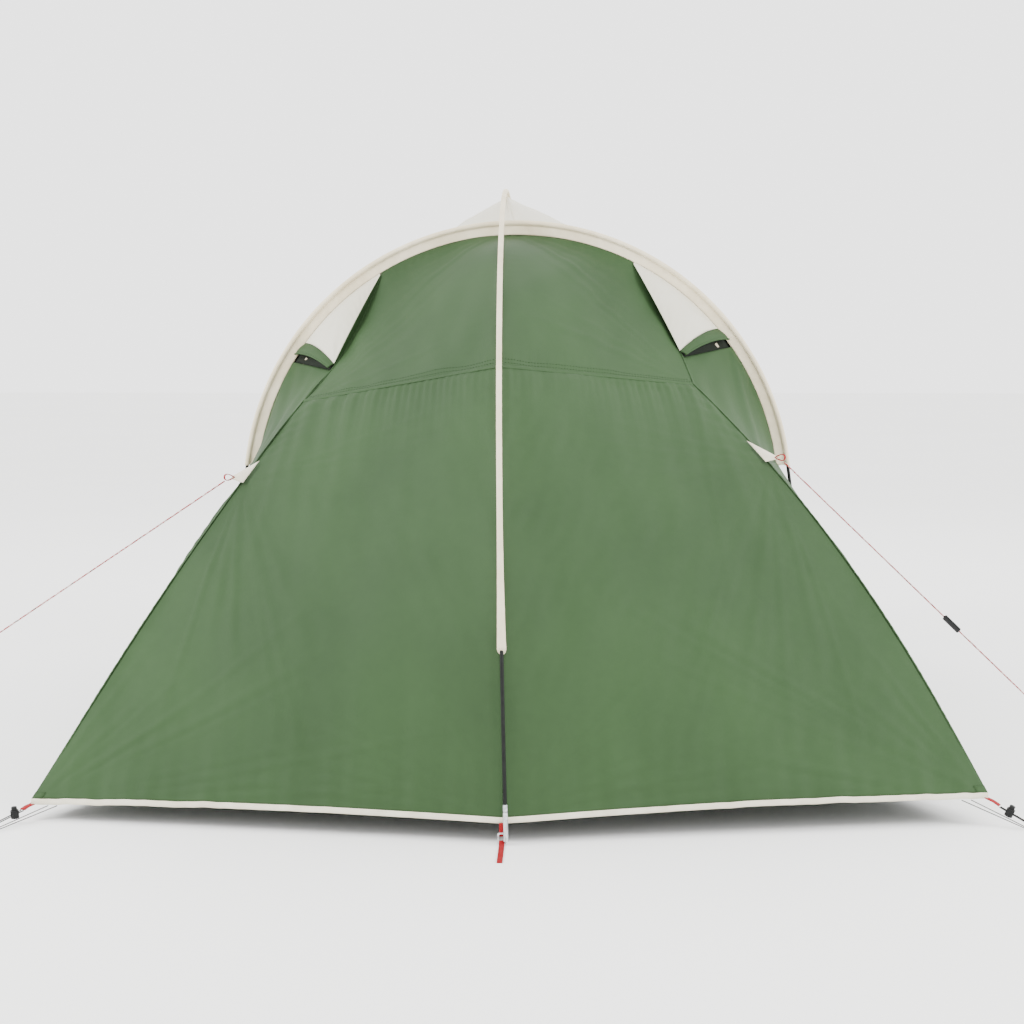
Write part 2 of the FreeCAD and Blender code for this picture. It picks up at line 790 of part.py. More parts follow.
foot_places = []
for end in ENDS:
    foot_z = size("foot_height") - size("ferrule_length") - size("tip_length")
    foot_places.append((Vec(0, ENDS[end] * size("spine_half_span"), foot_z), spine_turn))
    for side in SIDES:
        y = ENDS[end] * size("hoop_setback")
        base = leg_point(side, y, size("hoop_foot_height"), size("hoop_radius"))
        splay = Turn(Vec(0, 1, 0), -SIDES[side] * size("hoop_leg_angle"))
        foot_places.append((Vec(0, 0, 0), Place(base, splay)))


def copies(shape, places):
    result = []
    for offset, placement in places:
        piece = shape.copy()
        piece.Placement = placement.multiply(Place(offset, Turn()))
        result.append(piece)
    return Part.Compound(result)


feature("pole_tips", copies(tip_body.Shape, foot_places))
spine_ferrules = [(offset + UP * size("tip_length"), placement)
                  for offset, placement in foot_places if offset.y != 0]
hoop_ferrules = [(offset + UP * (size("tip_length") + 2), placement)
                 for offset, placement in foot_places if offset.y == 0]
feature("pole_ferrules", copies(ferrule_body.Shape, spine_ferrules + hoop_ferrules))

# ---------------------------------------------------------------- foot webbing, ring and strap
ring_body = new_body("ring_pattern")
ring_sketch = sketch_on(ring_body, "XZ_Plane", "ring_outline")
add_rectangle(ring_sketch, "outer", "sizes.webbing_width + 3", "24")
add_rectangle(ring_sketch, "inner", "sizes.webbing_width - 3", "17")
ring_plate = pad(ring_body, ring_sketch, "ring_plate", "3")
doc.recompute()
corner_edges = [f"Edge{index + 1}" for index, edge in enumerate(ring_body.Shape.Edges)
                if abs(edge.Length - 3) < 0.01]
ring_round = ring_body.newObject("PartDesign::Fillet", "ring_corners")
ring_round.Base = (ring_plate, corner_edges)
ring_round.Radius = 3.2
ring_body.Tip = ring_round
doc.recompute()

FOOT_X = -9


def end_box(end, width, depth, height, back, bottom):
    """A box across the middle of an end, back mm outside the foot seam."""
    near = size("foot_seam_out") + back
    low_y = near if end == "front" else -near - depth
    return Part.makeBox(width, depth, height, Vec(FOOT_X - width / 2, low_y, bottom))


foot_pieces = []
for end in ENDS:
    foot_pieces.append(end_box(end, size("webbing_width") - 4, 2, 24, 3, 15))
    foot_pieces.append(end_box(end, size("webbing_width") - 4, 1.4, 8, 9.2, 2.4))
    foot_pieces.append(end_box(end, size("webbing_width") - 4, 160, 2, 9.2, 0.2))
feature("foot_webbings", Part.Compound(foot_pieces))
ring_places = []
for end in ENDS:
    ring_y = size("foot_seam_out") + 9 if end == "front" else -size("foot_seam_out") - 5.6
    ring_places.append((Vec(0, 0, 0), Place(Vec(FOOT_X, ring_y, 12.5), Turn())))
feature("foot_rings", copies(ring_body.Shape, ring_places))

# ---------------------------------------------------------------- guy tabs and guy lines
def oriented(start, finish):
    """A placement whose Z axis runs from start towards finish."""
    return Place(start, Turn(UP, finish - start))


def guy_run(side):
    """The two ends of a guy line: at the tab's loop and at the hook of its peg."""
    tab = pitched("rear", side, "tab")
    peg = Vec(SIDES[side] * size(f"guy_peg_out_{side}"), -size("guy_peg_back"), size("peg_wire") + 2)
    start = tab + Vec(SIDES[side] * 22, -16, 12)
    along = peg - start
    along.normalize()
    return start + along * 16, peg - along * 5


tab_pieces = []
for side in SIDES:
    for end in ENDS:
        tab = pitched(end, side, "tab")
        seam = lower_side_edge(end, side)
        low, high = seam(0.72), seam(0.84)
        away = Vec(SIDES[side] * 4, ENDS[end] * 5, 2)
        nose = tab + Vec(SIDES[side] * 17, ENDS[end] * 14, 11)
        outline = [low + away, high + away, nose, low + away]
        triangle = Part.Face(Part.makePolygon(outline)).extrude(Vec(0, ENDS[end] * 2, 1))
        loop_at = nose + Vec(SIDES[side] * 9, ENDS[end] * 6, 1)
        loop = Part.makeTorus(7, 1.6, loop_at, Vec(0, 1, 0.2))
        tab_pieces += [triangle, loop]
feature("guy_tabs", Part.Compound(tab_pieces))


def rod(start, finish, radius):
    along = finish - start
    return Part.makeCylinder(radius, along.Length, start, along)


for side in SIDES:
    start, finish = guy_run(side)
    feature(f"guy_line_{side}", rod(start, finish, size("guy_diameter") / 2))
    print(f"guy line {side}: {(finish - start).Length:.0f} mm, straight")

guy_slider = new_body("guy_slider_pattern")
guy_outline = sketch_on(guy_slider, "XZ_Plane", "guy_slider_outline")
add_rectangle(guy_outline, "plate", "11", "44")
pad(guy_slider, guy_outline, "guy_slider_plate", "7", midplane=True)
doc.recompute()
before_bore = guy_slider.Shape.Volume
bore = sketch_on(guy_slider, "XY_Plane", "rope_bore")
add_circle(bore, "rope", "sizes.guy_diameter / 2 + 0.4")
pocket_through(guy_slider, bore, "rope_hole")
checked_cut(guy_slider, before_bore, "rope_hole")
slider_share = {"left": 0.62, "right": 0.48}
for side in SIDES:
    start, finish = guy_run(side)
    at = start + (finish - start) * slider_share[side]
    feature(f"guy_slider_{side}", guy_slider.Shape.copy(), oriented(at, finish))
    print(f"guy slider {side} at {at.x:.1f} {at.y:.1f} {at.z:.1f}")

# ---------------------------------------------------------------- cords with bends
def cord_path(points):
    """Straight runs joined by tangent arcs, each as large as its two runs allow."""
    edges, here = [], points[0]
    for before, at, after in zip(points, points[1:], points[2:]):
        back, ahead = before - at, after - at
        shorter = min(back.Length, ahead.Length)
        turn = math.pi - back.getAngle(ahead)
        radius = 0.45 * shorter / math.tan(turn / 2)
        reach = radius * math.tan(turn / 2)
        print(f"  arc radius {radius:.1f}, turn {math.degrees(turn):.0f}")
        back.normalize()
        ahead.normalize()
        first, last = at + back * reach, at + ahead * reach
        bisector = back + ahead
        bisector.normalize()
        middle = at + bisector * (radius / math.cos(turn / 2) - radius)
        if (first - here).Length > 1e-6:
            edges.append(Part.LineSegment(here, first).toShape())
        edges.append(Part.Arc(first, middle, last).toShape())
        here = last
    edges.append(Part.LineSegment(here, points[-1]).toShape())
    return Part.Wire(edges)


def cord_tube(points, diameter):
    path = cord_path(points)
    along = points[1] - points[0]
    tube = path.makePipe(round_face(points[0], along, diameter / 2))
    section = math.pi * (diameter / 2) ** 2
    print(f"  length {path.Length:.0f}, volume ratio {tube.Volume / (section * path.Length):.3f}")
    return tube


# ---------------------------------------------------------------- corners
corner_peg_at = {
    "left": Vec(-1097, -1418, 4.5),
    "right": Vec(1106, -1330, 4.5),
}


def corner_frame(side):
    """From the rear corner's webbing out to its peg: start, direction and the direction across."""
    start = corner("rear", side) + Vec(0, 0, -2)
    along = corner_peg_at[side] - start
    along.normalize()
    across = along.cross(UP)
    across.normalize()
    return start, along, across


webbing_pieces = []
for side in SIDES:
    start, along, across = corner_frame(side)
    box = Part.makeBox(size("webbing_width"), size("webbing_thickness"), 24,
                       Vec(-size("webbing_width") / 2, -1, 3))
    normal = across.cross(along)
    box.Placement = Place(start, Turn(across, normal, along))
    webbing_pieces.append(box)
    front_start = corner("front", side) + Vec(0, 0, -2)
    goal = front_start + Vec(SIDES[side] * 45, 45, 0)
    goal.z = 6
    ahead = goal - front_start
    ahead.normalize()
    sideways = ahead.cross(UP)
    sideways.normalize()
    front_box = Part.makeBox(size("webbing_width"), size("webbing_thickness"), size("front_webbing_length"),
                             Vec(-size("webbing_width") / 2, -1, 3))
    front_box.Placement = Place(front_start, Turn(sideways, sideways.cross(ahead), ahead))
    webbing_pieces.append(front_box)
feature("corner_webbings", Part.Compound(webbing_pieces))

lock_body = new_body("lock_pattern")
barrel_sketch = sketch_on(lock_body, "XY_Plane", "barrel_outline")
add_circle(barrel_sketch, "barrel", "9")
pad(lock_body, barrel_sketch, "barrel", "17", midplane=True)
doc.recompute()
barrel_volume = lock_body.Shape.Volume
well_sketch = sketch_on(lock_body, "XY_Plane", "well_outline")
add_circle(well_sketch, "well", "6.6")
well = lock_body.newObject("PartDesign::Pocket", "well")
well.Profile = well_sketch
well.Length = 9
well.Reversed = True
lock_body.Tip = well
checked_cut(lock_body, barrel_volume, "well")
well_volume = lock_body.Shape.Volume
slot_sketch = sketch_on(lock_body, "XZ_Plane", "slot_outline")
add_rectangle(slot_sketch, "slot", "11", "4")
pocket_through(lock_body, slot_sketch, "cord_slot")
checked_cut(lock_body, well_volume, "cord_slot")

# the button stands this far above the middle of its barrel
BUTTON_SEAT = 4.9
button_body = new_body("button_pattern")
button_sketch = sketch_on(button_body, "XY_Plane", "button_outline")
add_circle(button_sketch, "button", "6.2")
pad(button_body, button_sketch, "button_rod", "11")
doc.recompute()

for side in SIDES:
    start, along, across = corner_frame(side)
    half = size("elastic_diameter") + 1.0
    near, far = start + along * 29, corner_peg_at[side] - along * 8
    points = [near + across * half, far + across * half, far - across * half, near - across * half]
    print(f"elastic {side}")
    feature(f"corner_elastic_{side}", cord_tube(points, size("elastic_diameter")))
    lock_at = start + along * 52
    lift = across.cross(along)
    if lift.z < 0:
        lift = lift * -1
    lock_place = Place(lock_at, Turn(across, along, lift))
    feature(f"cord_lock_{side}", lock_body.Shape.copy(), lock_place)
    button_place = lock_place.multiply(Place(Vec(0, 0, BUTTON_SEAT), Turn()))
    feature(f"lock_button_{side}", button_body.Shape.copy(), button_place)
    print(f"lock {side} at {lock_at}, along {along}, lift {lift}")

for side in SIDES:
    peg = corner_peg_at[side]
    start, along, across = corner_frame(side)
    inner_hem = hem_edge("rear", side)
    exit_high = inner_hem(0.965) + Vec(0, 10, -3)
    exit_low = inner_hem(0.945) + Vec(0, 10, -3)
    rearwards = across if across.y < 0 else across * -1
    turn_at = peg - along * 6 + rearwards * 16
    turn_at.z = size("tie_diameter") / 2 + 0.2
    sideways = (turn_at - exit_low).cross(UP)
    sideways.normalize()
    if sideways.dot(exit_high - exit_low) < 0:
        sideways = sideways * -1
    points = [exit_high, turn_at + sideways * 4, turn_at - sideways * 4, exit_low]
    print(f"floor tie {side}", [tuple(round(c, 1) for c in p) for p in points])
    feature(f"floor_tie_{side}", cord_tube(points, size("tie_diameter")))

# ---------------------------------------------------------------- pegs
def peg_shape():
    """A wire peg: a long leg and a hooked head, lying on the ground with its shaft along +X."""
    radius = size("peg_wire") / 2
    bend = 7
    leg = Part.LineSegment(Vec(size("peg_length"), bend, radius), Vec(0, bend, radius)).toShape()
    hook = Part.Arc(Vec(0, bend, radius), Vec(-bend, 0, radius), Vec(0, -bend, radius)).toShape()
    tail = Part.LineSegment(Vec(0, -bend, radius), Vec(16, -bend, radius)).toShape()
    profile = round_face(Vec(size("peg_length"), bend, radius), Vec(-1, 0, 0), radius)
    return pipe([leg, hook, tail], profile)


def peg_place(at, direction_deg, lift=0.0):
    return (Vec(0, 0, lift), Place(Vec(at.x, at.y, 0), Turn(UP, direction_deg)))


def heading(vector):
    return math.degrees(math.atan2(vector.y, vector.x))


peg_places = []
for side in SIDES:
    start, along, _ = corner_frame(side)
    peg_places.append(peg_place(corner_peg_at[side] + along * 3, heading(along)))
    front_start = corner("front", side)
    outward = Vec(SIDES[side], 1, 0)
    outward.normalize()
    peg_places.append(peg_place(front_start + outward * 61, heading(outward)))
    start, finish = guy_run(side)
    away = finish - start
    away.z = 0
    away.normalize()
    peg_places.append(peg_place(finish + away * 10, heading(away)))
peg_places.append(peg_place(Vec(FOOT_X, size("foot_seam_out") + 184, 0), 90))
feature("ground_pegs", copies(peg_shape(), peg_places))

# ---------------------------------------------------------------- vent props
prop_body = new_body("prop_pattern")
prop_sketch = sketch_on(prop_body, "XY_Plane", "prop_outline")
add_rectangle(prop_sketch, "prop", "9", "2.4")
prop_strip = pad(prop_body, prop_sketch, "prop_strip", "34")
doc.recompute()
prop_edges = [f"Edge{index + 1}" for index, edge in enumerate(prop_body.Shape.Edges)
              if abs(edge.Length - 2.4) < 0.01]
prop_round = prop_body.newObject("PartDesign::Fillet", "prop_ends")
prop_round.Base = (prop_strip, prop_edges)
prop_round.Radius = 4.2
prop_body.Tip = prop_round
doc.recompute()
for side in SIDES:
    face = hoop_face("rear")
    vent = pitched("rear", side, "vent")
    brim_end = hoop_point(side, size(f"brim_angle_{side}"), face)
    gap_end = hoop_point(side, size(f"brim_angle_{side}") - size("vent_gap_angle"), face)
    above = vent + (brim_end - vent) * 0.82
    below = vent + (gap_end - vent) * 0.82
    down = below - above
    reach = down.Length
    down.normalize()
    outward = (brim_end - vent).cross(down)
    outward.normalize()
    if outward.y > 0:
        outward = outward * -1
    base = above + down * (reach * 0.12) - outward * 9
    run = outward.cross(down)
    feature(f"vent_prop_{side}", prop_body.Shape.copy(), Place(base, Turn(run, outward, down)))
    print(f"prop {side} at {base}, axis {outward}, reach {reach:.0f}")

# ---------------------------------------------------------------- inner tent
floor_outer = doc.addObject("Part::Box", "floor_outer")
floor_outer.setExpression("Length", "sizes.floor_width")
floor_outer.setExpression("Width", "sizes.floor_length")
floor_outer.setExpression("Height", "sizes.floor_wall")
floor_outer.Placement = Place(Vec(-size("floor_width") / 2, -size("floor_length") / 2, 0), Turn())
floor_inner = doc.addObject("Part::Box", "floor_inner")
floor_inner.setExpression("Length", "sizes.floor_width - 2 * sizes.floor_thickness")
floor_inner.setExpression("Width", "sizes.floor_length - 2 * sizes.floor_thickness")
floor_inner.setExpression("Height", "sizes.floor_wall")
thick = size("floor_thickness")
tray_corner = Vec(thick - size("floor_width") / 2, thick - size("floor_length") / 2, thick)
floor_inner.Placement = Place(tray_corner, Turn())
floor_tray = doc.addObject("Part::Cut", "groundsheet")
floor_tray.Base = floor_outer
floor_tray.Tool = floor_inner
keep(floor_tray, "groundsheet")


def inner_point(out, back, height):
    """A point on the inner tent's skin: out and back are shares of the width and length there."""
    share = (size("inner_ridge_height") - height) / (size("inner_ridge_height") - size("floor_wall"))
    half_width = (size("floor_width") / 2 - 4) * share
    half_length = size("inner_ridge_half") + (size("floor_length") / 2 - 4 - size("inner_ridge_half")) * share
    return Vec(out * half_width, back * half_length, height)


def inner_solid(corners):
    face = Part.Face(Part.makePolygon(corners + corners[:1]))
    normal = (corners[1] - corners[0]).cross(corners[2] - corners[0])
    normal.normalize()
    if normal.dot(Vec(0, 0, 500) - corners[0]) < 0:
        normal = normal * -1
    return face.extrude(normal * size("fabric_thickness"))


low = size("floor_wall") + 1
high = size("inner_ridge_height") - 6
side_walls = []
for sign in (-1, 1):
    corners = [inner_point(sign, -1, low), inner_point(sign, 1, low),
               inner_point(sign, 1, high), inner_point(sign, -1, high)]
    inset = [Vec(p.x, p.y * 0.996, p.z) for p in corners]
    side_walls.append(inner_solid(inset))
feature("inner_side_walls", Part.Compound(side_walls))
rear_corners = [inner_point(sign, -1, z) for sign, z in ((-1, low), (1, low), (1, high), (-1, high))]
rear_inset = [Vec(p.x * 0.985, p.y - 1, p.z) for p in rear_corners]
feature("inner_rear_wall", inner_solid(rear_inset))

door_half, door_high = size("doorway_half_width"), size("doorway_height")


def front_wall_point(x, height):
    return Vec(x, inner_point(0, 1, height).y + 1, height)


def front_edge(sign, height):
    return front_wall_point(inner_point(sign * 0.985, 1, height).x, height)


front_pieces = []
for sign in (-1, 1):
    corners = [front_edge(sign, low), front_wall_point(sign * door_half, low),
               front_wall_point(sign * door_half * 0.86, door_high - 1), front_edge(sign, door_high - 1)]
    front_pieces.append(inner_solid(corners))
front_pieces.append(inner_solid([front_edge(-1, door_high + 1), front_edge(1, door_high + 1),
                                 front_edge(1, high), front_edge(-1, high)]))
feature("inner_front_wall", Part.Compound(front_pieces))

# ---------------------------------------------------------------- check and write
doc.recompute()
for thing in doc.Objects:
    if "Invalid" in thing.State or "Error" in thing.State:
        raise RuntimeError(f"{thing.Name} did not build: {thing.State}")
os.makedirs("parts", exist_ok=True)
for thing in sub_parts:
    shape = thing.Shape
    if shape.isNull() or not shape.isValid():
        raise RuntimeError(f"{thing.Label} has no valid shape")
    for solid in shape.Solids:
        if solid.Volume <= 0:
            raise RuntimeError(f"{thing.Label} has a solid turned inside out")
    shape.exportStep(f"parts/{thing.Label}.step")
print(f"zip centre {zip_centre}, radius {zip_radius:.1f}, slider at {slider_at}")
print(f"fold from {fold_high} to {fold_low}, pull at {pull_at}")
print(f"{len(sub_parts)} sub-parts written")
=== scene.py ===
# %% [markdown]
# # A trekking tent on three poles
# A spine pole runs from end to end over two hoop poles, and a thin coated fly is pitched over
# them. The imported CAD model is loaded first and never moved: every new piece is made in its
# frame, in metres, with +X to the right seen from the rear, +Y towards the door end and +Z up.

# %% Load the frame
import json
import math

import bpy
import numpy as np
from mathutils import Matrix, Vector

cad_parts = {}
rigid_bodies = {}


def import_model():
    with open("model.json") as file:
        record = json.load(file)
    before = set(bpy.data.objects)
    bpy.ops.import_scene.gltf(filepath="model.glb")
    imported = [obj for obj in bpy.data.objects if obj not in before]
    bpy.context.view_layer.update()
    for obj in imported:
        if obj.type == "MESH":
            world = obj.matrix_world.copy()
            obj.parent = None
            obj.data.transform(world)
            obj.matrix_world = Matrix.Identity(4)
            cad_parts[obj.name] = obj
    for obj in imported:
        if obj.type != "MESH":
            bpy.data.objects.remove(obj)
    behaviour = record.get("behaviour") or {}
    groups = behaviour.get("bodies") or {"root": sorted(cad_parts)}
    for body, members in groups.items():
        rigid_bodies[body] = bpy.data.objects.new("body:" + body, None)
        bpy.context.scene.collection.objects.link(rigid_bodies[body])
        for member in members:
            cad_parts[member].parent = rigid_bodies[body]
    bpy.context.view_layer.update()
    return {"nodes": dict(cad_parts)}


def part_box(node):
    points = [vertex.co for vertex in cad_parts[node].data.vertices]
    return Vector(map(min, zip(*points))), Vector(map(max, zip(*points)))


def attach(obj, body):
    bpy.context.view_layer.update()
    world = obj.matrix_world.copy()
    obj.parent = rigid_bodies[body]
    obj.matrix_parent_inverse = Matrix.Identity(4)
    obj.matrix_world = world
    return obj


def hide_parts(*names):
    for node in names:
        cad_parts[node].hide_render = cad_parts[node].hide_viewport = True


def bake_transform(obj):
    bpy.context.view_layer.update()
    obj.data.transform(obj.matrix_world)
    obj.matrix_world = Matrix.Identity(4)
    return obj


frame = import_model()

bpy.ops.object.select_all(action="DESELECT")

# %% [markdown]
# The camera stands behind the rear end, a little to the right of the middle and just below the
# height of the roof, with a long lens. It comes first, because the cords are judged against
# what it sees.

# %% Camera
CAMERA_AT = (0.118, -6.0, 1.05)
CAMERA_PITCH, CAMERA_YAW = -4.7, 1.35
LENS_MM, SENSOR_MM = 79.1, 36.0

camera_data = bpy.data.cameras.new("camera")
camera_data.lens, camera_data.sensor_width = LENS_MM, SENSOR_MM
camera = bpy.data.objects.new("camera", camera_data)
camera.location = CAMERA_AT
camera.rotation_euler = (math.radians(90 + CAMERA_PITCH), 0, math.radians(CAMERA_YAW))
bpy.context.scene.collection.objects.link(camera)
bpy.context.scene.camera = camera
print("lens", LENS_MM)

# %% [markdown]
# A pale floor and a bright even sky give flat studio light. Two soft lamps rake across the rear
# end from either side, so that the folds in the thin coated cloth catch light on one flank, and
# a larger lamp lights the door end.

# %% Floor and light
def soft_lamp(name, at, aim, width, power):
    data = bpy.data.lights.new(name, "AREA")
    data.shape, data.size, data.energy = "SQUARE", width, power
    lamp = bpy.data.objects.new(name, data)
    lamp.location = at
    direction = [b - a for a, b in zip(at, aim)]
    lamp.rotation_euler = Vector(direction).to_track_quat("-Z", "Y").to_euler()
    bpy.context.scene.collection.objects.link(lamp)


bpy.ops.mesh.primitive_plane_add(size=60, location=(0, 0, 0))
floor = bpy.context.object
floor.name = "studio_floor"
soft_lamp("key_lamp", (-4.6, -2.6, 3.2), (0, -0.6, 0.5), 1.5, 240)
soft_lamp("fill_lamp", (4.6, -2.4, 2.6), (0, -0.6, 0.5), 1.5, 200)
soft_lamp("back_lamp", (0.5, 5.0, 4.5), (0, 0, 0.8), 3.5, 110)
world = bpy.data.worlds.new("studio")
world.use_nodes = True
world.node_tree.nodes["Background"].inputs["Color"].default_value = (1, 1, 1, 1)
world.node_tree.nodes["Background"].inputs["Strength"].default_value = 2.9
bpy.context.scene.world = world

# %% [markdown]
# Five small helpers serve every material: one turns an sRGB hex colour to linear, one adds a
# node with its settings and links, one starts a material from its principled shader, one lays a
# run of colours over a value, and one joins two sockets.

# %% Material helpers
def linear(hex_colour):
    parts = [int(hex_colour[k:k + 2], 16) / 255 for k in (1, 3, 5)]
    return [c / 12.92 if c <= 0.04045 else ((c + 0.055) / 1.055) ** 2.4 for c in parts] + [1.0]


def add(material, kind, settings=None, **inputs):
    """Add a node. An input is a value or an output socket, named as its socket with _ for a
    space, or i and a number where sockets share a name."""
    tree = material.node_tree
    node = tree.nodes.new(kind)
    for key, value in (settings or {}).items():
        setattr(node, key, value)
    for key, value in inputs.items():
        by_number = key[0] == "i" and key[1:].isdigit()
        socket = node.inputs[int(key[1:]) if by_number else key.replace("_", " ")]
        if isinstance(value, bpy.types.NodeSocket):
            tree.links.new(value, socket)
        else:
            socket.default_value = value
    return node


def start_material(name, **shader):
    material = bpy.data.materials.new(name)
    material.use_nodes = True
    principled = material.node_tree.nodes["Principled BSDF"]
    for key, value in shader.items():
        principled.inputs[key.replace("_", " ")].default_value = value
    return material, principled


def colours(material, factor, stops):
    """A colour ramp over a factor; stops are (place, hex colour)."""
    ramp = add(material, "ShaderNodeValToRGB", Fac=factor)
    elements = ramp.color_ramp.elements
    elements[0].position, elements[0].color = stops[0][0], linear(stops[0][1])
    elements[1].position, elements[1].color = stops[-1][0], linear(stops[-1][1])
    for place, colour in stops[1:-1]:
        elements.new(place).color = linear(colour)
    return ramp.outputs["Color"]


def link(material, source, target):
    material.node_tree.links.new(source, target)

# %% [markdown]
# The floor is painted board. The fly is polyester taffeta with a thin polyurethane coat: a fine
# plain weave with a satin sheen. Real threads stand 0.25 mm apart, which is too fine to show,
# so the weave is drawn at 1.5 mm and kept shallow. Slow clouds of tone stand for the way that
# light passes through thin cloth.

# %% Cloth materials
WEAVE_MM = 1.5


def cloth_material(name, light, dark, roughness, weave_strength, sheen, cloud_m=0.35, coat=0.0):
    material, shader = start_material(name, Roughness=roughness, Sheen_Weight=sheen, Sheen_Roughness=0.4,
                                      Coat_Weight=coat, Coat_Roughness=0.35, IOR=1.32)
    where = add(material, "ShaderNodeTexCoord")
    cloud = add(material, "ShaderNodeTexNoise", Vector=where.outputs["Object"], Scale=1 / cloud_m,
                Detail=3.0, Roughness=0.5)
    fine = add(material, "ShaderNodeTexNoise", Vector=where.outputs["Object"], Scale=55.0, Detail=4.0)
    mixed = add(material, "ShaderNodeMath", {"operation": "MULTIPLY_ADD"}, i0=fine.outputs["Fac"], i1=0.18)
    link(material, cloud.outputs["Fac"], mixed.inputs[2])
    tone = colours(material, mixed.outputs[0], [(0.40, dark), (0.78, light)])
    link(material, tone, shader.inputs["Base Color"])
    threads = []
    for direction in ("X", "Y"):
        wave = add(material, "ShaderNodeTexWave", {"bands_direction": direction, "wave_profile": "SIN"},
                   Vector=where.outputs["UV"], Scale=1000 / WEAVE_MM / math.pi, Distortion=0.6)
        threads.append(wave.outputs["Fac"])
    weave = add(material, "ShaderNodeMath", {"operation": "MAXIMUM"}, i0=threads[0], i1=threads[1])
    bump = add(material, "ShaderNodeBump", Strength=weave_strength, Distance=0.0002, Height=weave.outputs[0])
    link(material, bump.outputs["Normal"], shader.inputs["Normal"])
    return material


fly_green = cloth_material("coated polyester taffeta, green", "#2c4424", "#263c1f", 0.70, 0.25, 0.0)
fly_light = cloth_material("coated polyester taffeta, off-white", "#cdcabb", "#c2beac", 0.55, 0.25, 0.0)
sleeve_cream = cloth_material("polyester sleeve cloth, cream", "#ddd2b8", "#cdc1a4", 0.65, 0.35, 0.0, 0.08)
binding_tape = cloth_material("woven binding tape, cream", "#e0dac6", "#cfc8b2", 0.75, 0.7, 0.0, 0.06)
inner_cloth = cloth_material("breathable polyester, light grey", "#bdbaae", "#b0ada0", 0.7, 0.3, 0.1)
floor_cloth = cloth_material("heavy coated floor cloth, grey", "#3a3e3b", "#2d312e", 0.42, 0.35, 0.05)
zip_tape = cloth_material("knitted zip tape, green", "#30472a", "#283c22", 0.8, 0.8, 0.0, 0.05)
print("cloths", len(bpy.data.materials))

# %% [markdown]
# Webbing is a thick ribbed weave, so its bump is coarse. The guy line is a braided polyester
# cord: red with white and dark flecks in a diagonal braid, drawn along the cord's own UV, where
# U is the length and V goes round. Real strands are 1 mm wide; they are drawn 5 mm long so that
# the flecks still show from six metres.

# %% Webbing and cord materials
def webbing_material(name, light, dark, rib_mm=1.6):
    material, shader = start_material(name, Roughness=0.8, Sheen_Weight=0.0, IOR=1.35)
    where = add(material, "ShaderNodeTexCoord")
    rib = add(material, "ShaderNodeTexWave", {"bands_direction": "DIAGONAL"}, Vector=where.outputs["Object"],
              Scale=1000 / rib_mm / (2 * math.pi), Distortion=0.4)
    tone = colours(material, rib.outputs["Fac"], [(0.2, dark), (0.8, light)])
    link(material, tone, shader.inputs["Base Color"])
    bump = add(material, "ShaderNodeBump", Strength=0.6, Distance=0.0004, Height=rib.outputs["Fac"])
    link(material, bump.outputs["Normal"], shader.inputs["Normal"])
    return material


def braid_material(name, main, second, fleck, strand_mm=5.0):
    material, shader = start_material(name, Roughness=0.75, Sheen_Weight=0.0, IOR=1.35)
    where = add(material, "ShaderNodeTexCoord")
    per_metre = 1000 / strand_mm
    stretched = add(material, "ShaderNodeMapping", Vector=where.outputs["UV"], Scale=(per_metre, 2.0, 1.0))
    checks = add(material, "ShaderNodeTexVoronoi", {"feature": "F1"}, Vector=stretched.outputs["Vector"],
                 Scale=1.0)
    picked = add(material, "ShaderNodeSeparateColor", Color=checks.outputs["Color"])
    ramp = add(material, "ShaderNodeValToRGB", Fac=picked.outputs["Red"])
    ramp.color_ramp.interpolation = "CONSTANT"
    elements = ramp.color_ramp.elements
    elements[0].position, elements[0].color = 0.0, linear(main)
    elements[1].position, elements[1].color = 0.62, linear(second)
    elements.new(0.9).color = linear(fleck)
    link(material, ramp.outputs["Color"], shader.inputs["Base Color"])
    bump = add(material, "ShaderNodeBump", Strength=0.7, Distance=0.0004, Height=checks.outputs["Distance"])
    link(material, bump.outputs["Normal"], shader.inputs["Normal"])
    return material


red_webbing = webbing_material("woven nylon webbing, red", "#960611", "#72050d")
prop_tape = webbing_material("hook tape on a plastic strip, cream", "#d3cab2", "#bdb398", 2.2)
guy_braid = braid_material("braided polyester cord, red and white", "#920614", "#c4aaa5", "#2c0d10")
black_braid = braid_material("braided elastic, black", "#151515", "#2a2a2a", "#0b0b0b", 2.5)
print("cords and webbing made")

# %% [markdown]
# The hard pieces: pultruded fibreglass has a glossy resin skin with faint lengthwise streaks,
# the tips and pegs are zinc plated steel with a cloudy satin, and the small fittings are
# injection moulded acetal with a fine spark texture.

# %% Hard materials
def streaked_material(name, light, dark, scale, roughness, **shader_values):
    material, shader = start_material(name, Roughness=roughness, **shader_values)
    where = add(material, "ShaderNodeTexCoord")
    noise = add(material, "ShaderNodeTexNoise", Vector=where.outputs["Object"], Scale=scale, Detail=5.0)
    tone = colours(material, noise.outputs["Fac"], [(0.35, dark), (0.65, light)])
    link(material, tone, shader.inputs["Base Color"])
    rough = add(material, "ShaderNodeMapRange", Value=noise.outputs["Fac"])
    rough.inputs["To Min"].default_value = roughness * 0.8
    rough.inputs["To Max"].default_value = roughness * 1.25
    link(material, rough.outputs["Result"], shader.inputs["Roughness"])
    bump = add(material, "ShaderNodeBump", Strength=0.15, Distance=0.0002, Height=noise.outputs["Fac"])
    link(material, bump.outputs["Normal"], shader.inputs["Normal"])
    return material


